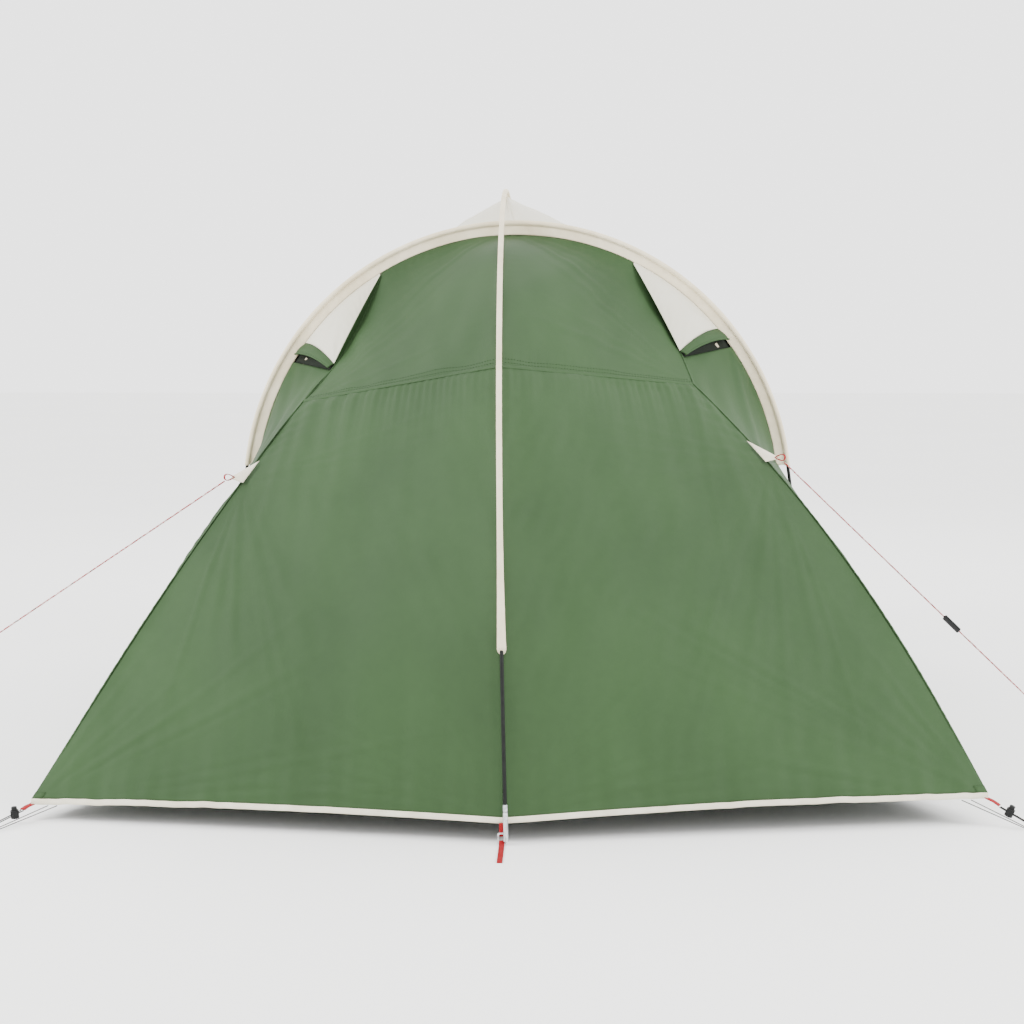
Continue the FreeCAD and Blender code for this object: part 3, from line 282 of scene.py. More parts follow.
fibreglass = streaked_material("pultruded fibreglass, black", "#161816", "#0d0f0d", 90, 0.36, IOR=1.25)
plated_steel = streaked_material("zinc plated steel", "#d2d4d6", "#a9acae", 160, 0.3, Metallic=1.0)
moulded_black = streaked_material("moulded acetal, black", "#1b1c1c", "#101111", 400, 0.5, IOR=1.3)
zip_enamel = streaked_material("enamelled zinc, dark green", "#3a4637", "#2c362a", 300, 0.35, Metallic=0.6)

floor_paint, floor_shader = start_material("painted studio board", Roughness=0.9)
floor_where = add(floor_paint, "ShaderNodeTexCoord")
floor_noise = add(floor_paint, "ShaderNodeTexNoise", Vector=floor_where.outputs["Object"], Scale=0.8)
link(floor_paint, colours(floor_paint, floor_noise.outputs["Fac"], [(0.3, "#f4f4f2"), (0.7, "#f6f6f5")]),
     floor_shader.inputs["Base Color"])
floor.data.materials.append(floor_paint)
print("materials", len(bpy.data.materials))

# %% [markdown]
# A piece is finished by giving it its material, riding it on its body, and hiding the CAD solids it stands
# for.

# %% Finishing a piece
def finish_piece(piece, material, body, slot, *nodes):
    if not piece.data.materials:
        piece.data.materials.append(material)
    if body:
        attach(piece, body)
    if nodes:
        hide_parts(*nodes)
    return piece


def new_mesh(name, points, faces, uv=None, smooth=True):
    data = bpy.data.meshes.new(name)
    data.from_pydata([tuple(map(float, p)) for p in points], [], [tuple(map(int, f)) for f in faces])
    if uv is not None:
        layer = data.uv_layers.new(name="cloth")
        index = np.empty(len(data.loops), int)
        data.loops.foreach_get("vertex_index", index)
        layer.data.foreach_set("uv", np.asarray(uv, float)[index].ravel())
    if smooth:
        data.polygons.foreach_set("use_smooth", [True] * len(data.polygons))
    data.update()
    piece = bpy.data.objects.new(name, data)
    bpy.context.scene.collection.objects.link(piece)
    return piece

# %% [markdown]
# Cords come before the cloth. Each cord repeats its route, a few listed points, as the control points of one
# smooth open spline. The braid needs a mesh tube with its own UV, so the tube follows points read from that
# spline.

# %% Cord helper
def route_line(points, steps=24):
    """The smooth line of a route: a spline curve with no thickness, turned to points."""
    curve = bpy.data.curves.new("route", "CURVE")
    curve.dimensions = "3D"
    curve.resolution_u = steps
    spline = curve.splines.new("NURBS")
    spline.points.add(len(points) - 1)
    for point, place in zip(spline.points, points):
        point.co = (*place, 1.0)
    spline.order_u = 3
    spline.use_endpoint_u = True
    holder = bpy.data.objects.new("route", curve)
    bpy.context.scene.collection.objects.link(holder)
    mesh = bpy.data.meshes.new_from_object(holder)
    line = np.array([v.co[:] for v in mesh.vertices])
    bpy.data.objects.remove(holder)
    return line


def travelled(line):
    """How far along a line each of its points is."""
    return np.concatenate([[0], np.cumsum(np.linalg.norm(np.diff(line, axis=0), axis=1))])


def tube_along(name, line, radius, sides=8):
    """A closed round tube along a line."""
    tangents = np.gradient(line, axis=0)
    tangents /= np.linalg.norm(tangents, axis=1)[:, None]
    normal = np.cross(tangents[0], (0.0, 0.0, 1.0) if abs(tangents[0][2]) < 0.9 else (1.0, 0.0, 0.0))
    points, uv, faces = [], [], []
    for place, tangent, length in zip(line, tangents, travelled(line)):
        normal = normal - tangent * normal.dot(tangent)
        normal /= np.linalg.norm(normal)
        other = np.cross(tangent, normal)
        for k in range(sides):
            turn = 2 * math.pi * k / sides
            points.append(place + radius * (math.cos(turn) * normal + math.sin(turn) * other))
            uv.append((length, k / sides * 2))
    rings = len(line)
    for ring in range(rings - 1):
        for k in range(sides):
            a, b = ring * sides + k, ring * sides + (k + 1) % sides
            faces.append((a, b, b + sides, a + sides))
    faces.append(tuple(range(sides))[::-1])
    faces.append(tuple(range((rings - 1) * sides, rings * sides)))
    return new_mesh(name, points, faces, uv)


def length_of(line):
    return float(np.linalg.norm(np.diff(line, axis=0), axis=1).sum())


print("cord helpers ready")

# %% [markdown]
# The guy lines are held taut between the red loop of a tab and the hook of a peg, so each is
# one straight stretch with an extra control point near either end, where it is knotted. The
# corner elastics are black shock cord, doubled: out to the peg, round its hook and back. The
# floor ties are thin laces that leave the hem and turn round the same pegs.

# %% The six cords
CORD_ROUTES = {
    "guy_line_left": [(-0.6590, -0.8893, 0.6992), (-0.6744, -0.8932, 0.6888), (-1.6606, -1.1451, 0.0201),
                      (-1.6760, -1.1490, 0.0097)],
    "guy_line_right": [(0.6152, -0.8898, 0.7442), (0.6277, -0.8941, 0.7320), (1.3590, -1.1445, 0.0226),
                       (1.3715, -1.1488, 0.0104)],
    "corner_elastic_left": [(-1.0388, -1.3035, 0.0245), (-1.0892, -1.3964, 0.0080),
                            (-1.0963, -1.4094, 0.0057), (-1.0902, -1.4127, 0.0057),
                            (-1.0831, -1.3997, 0.0080), (-1.0326, -1.3068, 0.0245)],
    "corner_elastic_right": [(1.0364, -1.2958, 0.0399), (1.0860, -1.3230, 0.0141), (1.0979, -1.3296, 0.0078),
                             (1.1013, -1.3234, 0.0078), (1.0894, -1.3169, 0.0141), (1.0398, -1.2896, 0.0399)],
    "floor_tie_left": [(-0.9865, -1.2771, 0.0292), (-1.0765, -1.4081, 0.0031), (-1.0832, -1.4179, 0.0012),
                       (-1.0770, -1.4230, 0.0012), (-1.0697, -1.4137, 0.0031), (-0.9662, -1.2812, 0.0299)],
    "floor_tie_right": [(0.9794, -1.2771, 0.0514), (1.0852, -1.3325, 0.0055), (1.0951, -1.3377, 0.0012),
                        (1.0919, -1.3450, 0.0012), (1.0817, -1.3401, 0.0051), (0.9590, -1.2812, 0.0516)],
}
CORD_KINDS = {"guy": (0.003, guy_braid, "guy_cord"), "corner": (0.0025, black_braid, "black_cord"),
              "floor": (0.002, black_braid, "black_cord")}
for node, route in CORD_ROUTES.items():
    diameter, braid, cord_slot = CORD_KINDS[node.split("_")[0]]
    line = route_line(route)
    tube = tube_along(node + "_braid", line, diameter / 2)
    finish_piece(tube, braid, "tent", cord_slot, node)
    print(node, round(length_of(line), 3))

# %% [markdown]
# The lines of the tent: the spine is half an ellipse that leans a little to the left, and each
# hoop is an arc on splayed legs. The pitched points of the fly differ slightly from left to
# right, as they do on a real pitch. Every curve takes an array of shares from 0 to 1.

# %% Lines of the tent
HALF, RISE, FOOT, LEAN = 1.5, 1.321, 0.084, math.tan(math.radians(1.5))
SETBACK, HOOP_Z, POLE_R, BAND_R, LEG = 0.5, 0.636, 0.666, 0.638, 8.0
HEM, HOOP_FOOT = 0.012, 0.034
SPINE_FOOT_Y, SPINE_FOOT_Z, SLEEVE_END_Z, CROSS_SEAM_Z = 1.484, 0.040, 0.396, 0.978
SIDES, ENDS = {"left": -1, "right": 1}, {"rear": -1, "front": 1}
DOOR_QUARTER = ("front", "right")
PITCH = {  # out from the middle, back from the middle, height
    "corner": {"left": (1.022, 1.280, 0.031), "right": (1.015, 1.280, 0.054)},
    "tab": {"left": (0.624, 0.870, 0.696), "right": (0.582, 0.870, 0.743)},
    "seam": {"left": (0.497, 0.730, 0.877), "right": (0.419, 0.730, 0.917)},
    "vent": {"left": (0.439, 0.650, 0.948), "right": (0.397, 0.650, 0.979)},
}
BRIM, HOOD, FRONT_HOOD, VENT_GAP = {"left": 34, "right": 38}, {"left": 59, "right": 64}, 62, 6


def stack(x, y, z):
    return np.stack(np.broadcast_arrays(np.asarray(x, float), y, z), axis=-1)


def unit(v):
    return v / np.maximum(np.linalg.norm(v, axis=-1, keepdims=True), 1e-12)


def spine_at(sign, angle, drop=0.0):
    inward = unit(stack(RISE * np.cos(angle), HALF * np.sin(angle), 0))
    y = HALF * np.cos(angle) - drop * inward[..., 0]
    z = FOOT + RISE * np.sin(angle) - drop * inward[..., 1]
    return stack(-z * LEAN, sign * y, z)


def spine_angle(height):
    return math.asin((height - FOOT) / RISE)


def ridge_drop(angle):
    return 0.017 + 0.039 * np.exp(-((HALF * np.cos(angle) - SETBACK) / 0.15) ** 2)


def ridge(sign, side, angle):
    return spine_at(sign, angle, ridge_drop(angle)) + (SIDES[side] * 0.002, 0, 0)


def hoop_at(side, degrees, y, radius=BAND_R):
    angle = np.radians(degrees)
    return stack(SIDES[side] * radius * np.cos(angle), y, HOOP_Z + radius * np.sin(angle))


def leg_at(side, y, height, radius=BAND_R):
    top = hoop_at(side, LEG, y, radius)
    return stack(top[..., 0] + SIDES[side] * (top[..., 2] - height) * math.tan(math.radians(LEG)), y, height)


def straight(start, finish):
    return lambda s: np.outer(1 - np.asarray(s), start) + np.outer(s, finish)


def through(points):
    """A smooth curve through three points, by the length between them."""
    points = np.array(points)
    steps = np.linalg.norm(np.diff(points, axis=0), axis=1)
    middle = steps[0] / steps.sum()

    def curve(s):
        s = np.asarray(s, float)[:, None]
        low = (s - middle) * (s - 1) / middle
        mid = s * (s - 1) / (middle * (middle - 1))
        high = s * (s - middle) / (1 - middle)
        return low * points[0] + mid * points[1] + high * points[2]
    return curve


def pitched(end, side, name):
    out, back, height = PITCH[name][side]
    return np.array((SIDES[side] * out, ENDS[end] * back, height))


def face_y(end, gap=0.003):
    return ENDS[end] * (SETBACK + gap)


print("roof height", round(float(spine_at(1, math.pi / 2)[2]), 3))

# %% [markdown]
# A panel of taut cloth is the smooth surface between its four edge curves. Its folds are real
# shape, not paint: each is a long low ridge with a hollow on either side, running away from the
# point that pulls on it and dying out along its length. Small puckers stand square to a seam,
# where the thread has drawn the cloth up, and a slow swell keeps the panel from looking like
# sheet metal. Shared edges are left alone, so neighbours still meet.

# %% Panels and folds
def coons(bottom, top, left, right, across, upward):
    """Grid of points between four edges, across x upward, from arrays of shares."""
    u, v = np.linspace(0, 1, across), np.linspace(0, 1, upward)
    low, high, near, far = bottom(u), top(u), left(v), right(v)
    uu, vv = u[:, None, None], v[None, :, None]
    mixed = low[:, None] * (1 - vv) + high[:, None] * vv + near[None] * (1 - uu) + far[None] * uu
    ends = (low[0] * (1 - uu) + low[-1] * uu) * (1 - vv) + (high[0] * (1 - uu) + high[-1] * uu) * vv
    return mixed - ends


def outward_normals(grid):
    """Normals that point away from the middle of the tent, and whether they had to be turned."""
    inside = np.array((0, 0, 0.4))
    normal = unit(np.cross(np.gradient(grid, axis=0), np.gradient(grid, axis=1)))
    middle = tuple(np.array(grid.shape[:2]) // 2)
    flip = -1 if np.dot(normal[middle], inside - grid[middle]) > 0 else 1
    return normal * flip, flip


def ridge_shape(x):
    return (1 - 1.3 * x ** 2) * np.exp(-x ** 2)


def fold_line(grid, start, finish, width, height, bow=0.0):
    """A tension fold from start towards finish, widest in the middle."""
    start, finish = np.array(start), np.array(finish)
    length = np.linalg.norm(finish - start)
    along = (finish - start) / length
    offset = grid - start
    t = (offset @ along) / length
    aside = offset - (offset @ along)[..., None] * along
    sideways = unit(np.cross(along, (0.0, -1.0, 0.6)))
    distance = (aside @ sideways) - bow * 4 * np.clip(t, 0, 1) * (1 - np.clip(t, 0, 1))
    window = np.clip(t, 0, 1) ** 0.6 * np.clip(1 - t, 0, 1) ** 0.9 * 1.6
    return height * window * ridge_shape(distance / (width * (0.5 + 0.8 * np.clip(t, 0, 1))))


def fan(grid, rng, anchor, targets, count, width=0.012, height=0.0025):
    """Folds that run from one pulled point towards places between two targets."""
    total = np.zeros(grid.shape[:2])
    first, last = (np.array(t) for t in targets)
    for k in range(count):
        share = (k + rng.uniform(0.2, 0.8)) / count
        goal = first * (1 - share) + last * share
        reach = rng.uniform(0.55, 1.0)
        finish = np.array(anchor) + (goal - anchor) * reach
        total += fold_line(grid, anchor, finish, width * rng.uniform(0.7, 1.4),
                           height * rng.uniform(0.4, 1.0), rng.uniform(-0.01, 0.01))
    return total


def swell(sizes, rng, waves, height):
    """A slow swell: a few broad waves in random directions, each wave (long, short) in metres."""
    x, y = sizes
    total = np.zeros(x.shape)
    for longest, shortest, turn in waves:
        for _ in range(5):
            angle = math.radians(turn + rng.uniform(-14, 14))
            along = x * math.cos(angle) + y * math.sin(angle)
            aside = -x * math.sin(angle) + y * math.cos(angle)
            total += (rng.uniform(0.4, 1) * np.sin(2 * math.pi * along / longest + rng.uniform(0, 6.3))
                      * np.sin(2 * math.pi * aside / (shortest * rng.uniform(0.7, 1.5))
                               + rng.uniform(0, 6.3)))
    return height * total / 3


def puckers(length_along, distance, rng, pitch, depth, height):
    """Short waves square to a seam, uneven in pitch and size, that die out away from it."""
    uneven = sum(rng.uniform(0.2, 0.8) * np.sin(length_along / rng.uniform(0.03, 0.12) + rng.uniform(0, 6.3))
                 for _ in range(4))
    size = 0.55 + 0.45 * np.sin(length_along / 0.11 + rng.uniform(0, 6.3))
    return height * size * np.sin(2 * math.pi * length_along / pitch + uneven) * np.exp(-distance / depth)


def lengths(grid):
    """How far each point of a panel is across it and up it."""
    across = np.concatenate([np.zeros((1, grid.shape[1])),
                             np.cumsum(np.linalg.norm(np.diff(grid, axis=0), axis=-1), axis=0)])
    upward = np.concatenate([np.zeros((grid.shape[0], 1)),
                             np.cumsum(np.linalg.norm(np.diff(grid, axis=1), axis=-1), axis=1)], axis=1)
    return across, upward


def smooth(x):
    x = np.clip(x, 0, 1)
    return x * x * (3 - 2 * x)


def edge_fade(across, upward, open_edges, width=0.03):
    """0 on the shared edges and 1 inside; open_edges may hold bottom, top, left and right."""
    fade = np.ones(across.shape)
    distances = {"left": across, "right": across[-1:] - across,
                 "bottom": upward, "top": upward[:, -1:] - upward}
    for edge, distance in distances.items():
        if edge not in open_edges:
            fade = fade * smooth(distance / width)
    return fade


def grid_mesh(name, grid, flip, across, upward):
    """The faces of a grid, turned outwards, with a UV in metres of cloth."""
    rows, columns = grid.shape[:2]
    index = np.arange(rows * columns).reshape(rows, columns)
    quads = np.stack([index[:-1, :-1], index[1:, :-1], index[1:, 1:], index[:-1, 1:]], axis=-1).reshape(-1, 4)
    if flip < 0:
        quads = quads[:, ::-1]
    uv = np.stack([across.ravel(), upward.ravel()], axis=1)
    return new_mesh(name, grid.reshape(-1, 3), quads, uv)


def area_of(grid):
    a, b = np.diff(grid, axis=0)[:, :-1], np.diff(grid, axis=1)[:-1]
    return float(np.linalg.norm(np.cross(a, b), axis=-1).sum())


def thicken(piece, thickness):
    """Give a sheet its thickness, all of it on the inner side."""
    solid = piece.modifiers.new("cloth", "SOLIDIFY")
    solid.thickness = thickness
    solid.offset = -1.0


panels = {}
LEAST_FILL = 0.45  # a tapered panel's length is printed shorter, so that it fills this share of its flat size


def cloth_panel(name, grid, relief, material, body, slot, nodes, thickness=0.0008):
    """It is kept for hems and patches."""
    normal, flip = outward_normals(grid)
    raised = grid + normal * relief[..., None]
    across, upward = lengths(raised)
    piece = grid_mesh(name, raised, flip, across, upward)
    thicken(piece, thickness)
    finish_piece(piece, material, body, slot, *nodes)
    width, length = float(across[-1].max()), float(upward[:, -1].max())
    flat_area = area_of(raised)
    length = min(length, flat_area / (LEAST_FILL * width))
    panels[name] = (raised, normal)
    print(name, grid.shape[:2], "flat", round(width, 2), "x", round(length, 2), "m, area",
          round(flat_area, 3))
    return piece

# %% [markdown]
# The end walls come first: a tall lower panel from the hem to the cross seam, and a narrower
# roof panel from there to the hoop. The lower one takes most of the load. The corner pulls it
# out and down, the guy tab pulls it outwards, and the foot of the spine pulls it tight, so each
# of these gets a fan of folds. The cross seam puckers the cloth under it, and the hem ripples.

# %% Edges of the end walls
rng = np.random.default_rng(7)


def spine_edge(end, side):
    """Beside the spine, from the foot up to the cross seam."""
    foot = np.array((SIDES[side] * 0.002 - 0.005, ENDS[end] * SPINE_FOOT_Y, SPINE_FOOT_Z))
    low, high = spine_angle(SLEEVE_END_Z), spine_angle(CROSS_SEAM_Z)
    fine = np.linspace(0, 1, 401)
    below = straight(foot, ridge(ENDS[end], side, low))(np.clip(fine / 0.38, 0, 1))
    above = ridge(ENDS[end], side, low + (high - low) * np.clip((fine - 0.38) / 0.62, 0, 1))
    points = np.where((fine < 0.38)[:, None], below, above)
    kernel = np.hanning(63) / np.hanning(63).sum()
    for axis in range(3):
        ends = np.concatenate([2 * points[0, axis] - points[31:0:-1, axis], points[:, axis],
                               2 * points[-1, axis] - points[-2:-33:-1, axis]])
        points[:, axis] = np.convolve(ends, kernel, mode="valid")
    return lambda s: np.stack([np.interp(s, fine, points[:, axis]) for axis in range(3)], axis=-1)


def upper_spine_edge(end, side):
    low, high = spine_angle(CROSS_SEAM_Z), math.acos((SETBACK + 0.003) / HALF)
    return lambda s: ridge(ENDS[end], side, low + (high - low) * np.asarray(s, float))


def hem_edge(end, side):
    start, finish = spine_edge(end, side)(np.zeros(1))[0], pitched(end, side, "corner")
    return lambda s: straight(start, finish)(s) + stack(0, 0, 0.008 * np.sin(math.pi * np.asarray(s)))


def raised_edge(curve, rise=HEM):
    return lambda s: curve(s) + (0, 0, rise)


def eased(curve, share, move):
    """A curve whose start is moved, with the move dying out along it."""
    return lambda s: curve(s) + np.outer((1 - np.asarray(s)) ** share, move)


def hood_top(end, side):
    return hoop_at(side, HOOD[side] if end == "rear" else FRONT_HOOD, face_y(end))


def lower_side_edge(end, side):
    return through([pitched(end, side, name) for name in ("corner", "tab", "seam")])


def upper_side_edge(end, side):
    return through([pitched(end, side, "seam"), pitched(end, side, "vent"), hood_top(end, side)])


def cross_seam(end, side):
    return straight(upper_spine_edge(end, side)(np.zeros(1))[0], pitched(end, side, "seam"))


print("cross seam", np.round(cross_seam("rear", "left")(np.ones(1))[0], 3))

# %% [markdown]
# The relief of a lower panel adds up its fans, swells and puckers. The fans are the strongest,
# because a taut sheet carries its load in straight lines between the points that pull on it.

# %% End walls
def hem_ripple(across, upward, height):
    """The free lower edge waves a little."""
    wave = sum(np.sin(across * k + rng.uniform(0, 6.3)) * rng.uniform(0.4, 1) for k in (22, 41, 67, 95, 140))
    return height * wave / 2.2 * np.exp(-upward / 0.11)


def lower_relief(end, side, grid):
    across, upward = lengths(grid)
    fade = edge_fade(across, upward, ("bottom",), 0.025)
    corner, tab, seam = (pitched(end, side, name) for name in ("corner", "tab", "seam"))
    foot, spine_top = grid[0, 0], grid[0, -1]
    mid_spine = grid[0, grid.shape[1] // 2]
    relief = fan(grid, rng, corner, (tab * 0.6 + corner * 0.4, mid_spine), 7, 0.010, 0.0040)
    relief += fan(grid, rng, corner, (mid_spine * 0.55 + foot * 0.45, foot), 6, 0.008, 0.0032)
    near_hem = (corner * 0.8 + foot * 0.2, corner * 0.25 + foot * 0.75)
    relief += fan(grid, rng, tab, near_hem, 7, 0.013, 0.0042)
    relief += fan(grid, rng, tab, (mid_spine, spine_top), 4, 0.015, 0.0028)
    relief += fan(grid, rng, foot, (mid_spine + (corner - foot) * 0.25, corner), 8, 0.010, 0.0034)
    relief += fan(grid, rng, seam, (foot, corner), 5, 0.018, 0.0020)
    relief += swell((across, upward), rng, [(0.9, 0.5, 70), (0.5, 0.21, 80)], 0.0042)
    relief += swell((across, upward), rng, [(0.30, 0.10, 85), (0.2, 0.06, 60)], 0.0011)
    relief += puckers(across, upward[:, -1:] - upward, rng, 0.021, 0.055, 0.0024)
    relief += puckers(across, upward[:, -1:] - upward, rng, 0.060, 0.16, 0.0030)
    relief += puckers(upward, across, rng, 0.030, 0.03, 0.0011)
    relief += puckers(upward, across[-1:] - across, rng, 0.045, 0.05, 0.0014)
    ends = smooth(across / 0.05) * smooth((across[-1:] - across) / 0.05)
    return fade * relief + hem_ripple(across, upward, 0.0026) * ends


def upper_relief(grid):
    across, upward = lengths(grid)
    fade = edge_fade(across, upward, (), 0.02)
    relief = swell((across, upward), rng, [(0.5, 0.3, 75), (0.3, 0.12, 85)], 0.0030)
    relief += fan(grid, rng, grid[-1, 0], (grid[0, 0], grid[0, -1]), 5, 0.013, 0.0022)
    relief += fan(grid, rng, grid[0, -1], (grid[-1, 0], grid[-1, -1]), 5, 0.012, 0.0022)
    relief += puckers(across, upward, rng, 0.026, 0.03, 0.0011)
    relief += puckers(across, upward[:, -1:] - upward, rng, 0.022, 0.028, 0.0012)
    relief += puckers(upward, across, rng, 0.028, 0.025, 0.0011)
    return fade * relief


def end_grids(end, side):
    inner = eased(spine_edge(end, side), 8, (0, 0, HEM))
    outer = eased(lower_side_edge(end, side), 8, (0, 0, HEM))
    lower = coons(raised_edge(hem_edge(end, side)), cross_seam(end, side), inner, outer, 130, 120)
    angle = HOOD[side] if end == "rear" else FRONT_HOOD
    crown = lambda s: hoop_at(side, 90 + (angle - 90) * np.asarray(s, float), face_y(end))
    spine_high = upper_spine_edge(end, side)
    reach = spine_high(np.ones(1))[0] - crown(np.zeros(1))[0]
    upper = coons(cross_seam(end, side), eased(crown, 6, reach), spine_high, upper_side_edge(end, side),
                  70, 60)
    return lower, upper


for side in SIDES:
    for end in ENDS:
        lower, upper = end_grids(end, side)
        if (end, side) != DOOR_QUARTER:
            cloth_panel(f"{end}_lower_{side}_cloth", lower, lower_relief(end, side, lower), fly_green, "tent",
                        "green_fly_cloth", [f"fly_{end}_lower_{side}"])
        cloth_panel(f"{end}_upper_{side}_cloth", upper, upper_relief(upper), fly_green, "tent",
                    "green_fly_cloth", [f"fly_{end}_upper_{side}"])

# %% [markdown]
# The side walls of each end have three parts: a wing from the corner up to the taut line that
# ends at the top of the hoop's leg, a small panel beside the hoop, and a skirt down to the
# ground. Long folds cross the wing from the guy tab, because the guy pulls outwards there.

# %% Side walls
def side_grids(end, side):
    face = face_y(end)
    corner, tab = pitched(end, side, "corner"), pitched(end, side, "tab")
    foot_end, top = leg_at(side, face, HOOP_FOOT), hoop_at(side, LEG, face)
    corner_end = straight(corner, foot_end)([0.03])[0]
    rise = np.array((0, 0, HEM))
    edge = lower_side_edge(end, side)
    seam_low = eased(lambda s: edge(np.asarray(s, float) * tab_share(end, side)), 8, rise)
    fold = straight(corner_end + rise, top)
    wing = coons(straight(corner + rise, corner_end + rise), straight(tab, top), seam_low, fold, 60, 110)
    if end == "rear":
        gap_angle, high = BRIM[side] - 0.5 * VENT_GAP, pitched(end, side, "vent")
    else:
        gap_angle, high = FRONT_HOOD - 1.5, hood_top(end, side)
    seam_high = through([tab, pitched(end, side, "seam"), high])
    hoop_edge = lambda s: hoop_at(side, LEG + (gap_angle - LEG) * np.asarray(s, float), face)
    upper = coons(straight(tab, top), straight(high, hoop_edge(np.ones(1))[0]), seam_high, hoop_edge, 60, 60)
    skirt = coons(straight(corner_end + rise, foot_end + rise), straight(top - (0, 0, 0.006), top), fold,
                  straight(foot_end + rise, top), 90, 90)
    return wing, upper, skirt


def tab_share(end, side):
    points = [pitched(end, side, name) for name in ("corner", "tab", "seam")]
    steps = np.linalg.norm(np.diff(points, axis=0), axis=1)
    return steps[0] / steps.sum()


def wing_relief(end, side, grid):
    across, upward = lengths(grid)
    fade = edge_fade(across, upward, (), 0.02)
    corner, tab = pitched(end, side, "corner"), pitched(end, side, "tab")
    top, foot = grid[-1, -1], grid[-1, 0]
    relief = fan(grid, rng, tab, (top * 0.45 + foot * 0.55, foot), 9, 0.010, 0.0042)
    relief += fan(grid, rng, corner, (tab, top), 6, 0.009, 0.0032)
    relief += fan(grid, rng, top, (corner, tab), 5, 0.010, 0.0026)
    relief += swell((across, upward), rng, [(0.4, 0.14, 60)], 0.0024)
    relief += puckers(upward, across, rng, 0.038, 0.05, 0.0015)
    return fade * relief


def plain_relief(grid, height=0.003, open_edges=("bottom",)):
    across, upward = lengths(grid)
    fade = edge_fade(across, upward, open_edges, 0.02)
    relief = swell((across, upward), rng, [(0.5, 0.2, 80), (0.3, 0.1, 60)], height)
    relief += fan(grid, rng, grid[-1, -1], (grid[0, 0], grid[-1, 0]), 6, 0.014, height)
    relief += fan(grid, rng, grid[0, 0], (grid[-1, 0], grid[-1, -1]), 6, 0.014, height)
    relief += puckers(upward, across[-1:] - across, rng, 0.03, 0.03, 0.0011)
    ripple = hem_ripple(across, upward, 0.0022) if "bottom" in open_edges else 0
    ends = smooth(across / 0.05) * smooth((across[-1:] - across) / 0.05)
    return fade * relief + ripple * ends


for side in SIDES:
    for end in ENDS:
        node = f"fly_{end}_side_{side}"
        wing, upper, skirt = side_grids(end, side)
        cloth_panel(f"{end}_wing_{side}_cloth", wing, wing_relief(end, side, wing), fly_green, "tent",
                    "green_fly_cloth", [node])
        cloth_panel(f"{end}_gusset_{side}_cloth", upper, plain_relief(upper, 0.0034, ()), fly_green, "tent",
                    "green_fly_cloth", [])
        cloth_panel(f"{end}_skirt_{side}_cloth", skirt, plain_relief(skirt), fly_green, "tent",
                    "green_fly_cloth", [])

# %% [markdown]
# Between the hoops the fly follows them, slightly waisted, and rises to the spine in the light
# cloth of the roof. Below that its sides are green again and drop straight to the ground.

# %% Middle walls and roof
MIDDLE_Y, WAIST, ROOF_EDGE = SETBACK - 0.003, 0.010, 50


def middle_grid(side, low, high, across, upward):
    """A strip between the hoops, from one angle of their arc to another."""
    y = MIDDLE_Y * (2 * np.linspace(0, 1, across)[:, None] - 1)
    degrees = low + (high - low) * np.linspace(0, 1, upward)[None, :]
    middle = 1 - (y / MIDDLE_Y) ** 2
    base = hoop_at(side, degrees, y, BAND_R - WAIST * middle)
    angle = np.arccos(np.abs(y) / HALF)
    spine = spine_at(-1, angle, ridge_drop(angle))
    lift = spine[..., 2] - (HOOP_Z + BAND_R) + WAIST * middle
    slope = np.maximum(0.0, 1 - np.abs(base[..., 0]) / 0.3)
    shift = -spine[..., 2] * LEAN * slope * middle
    return base + stack(shift, 0, lift * slope)


def middle_skirt(side, across, upward):
    y = MIDDLE_Y * (2 * np.linspace(0, 1, across)[:, None] - 1)
    radius = BAND_R - WAIST * (1 - (y / MIDDLE_Y) ** 2)
    low = leg_at(side, y, HOOP_FOOT + HEM, radius)
    high = hoop_at(side, LEG, y, radius)
    share = np.linspace(0, 1, upward)[None, :, None]
    return low + (high - low) * share


for side in SIDES:
    roof = middle_grid(side, ROOF_EDGE, 90, 110, 60)
    across, upward = lengths(roof)
    roof_relief = edge_fade(across, upward, (), 0.02) * (
        swell((across, upward), rng, [(0.5, 0.25, 5), (0.3, 0.1, 0)], 0.0028)
        + puckers(across, upward, rng, 0.028, 0.03, 0.0012)
        + puckers(upward, across, rng, 0.024, 0.03, 0.0012))
    cloth_panel(f"roof_{side}_cloth", roof, roof_relief, fly_light, "tent", "light_fly_cloth",
                [f"fly_roof_{side}"])
    wall = middle_grid(side, LEG, ROOF_EDGE, 110, 60)
    cloth_panel(f"middle_wall_{side}_cloth", wall, plain_relief(wall, 0.0028, ()), fly_green, "tent",
                "green_fly_cloth", [f"fly_middle_side_{side}"])
    skirt = middle_skirt(side, 110, 70)
    cloth_panel(f"middle_skirt_{side}_cloth", skirt, plain_relief(skirt), fly_green, "tent",
                "green_fly_cloth", [])

# %% [markdown]
# The sleeves are folded strips of cream cloth, sewn into a tube round the pole with a flat web
# down to the fly. The outline of the tube and web is carried along the pole's line. The tube is
# a little loose, so its size wanders, and the web is drawn into small puckers by the stitching.

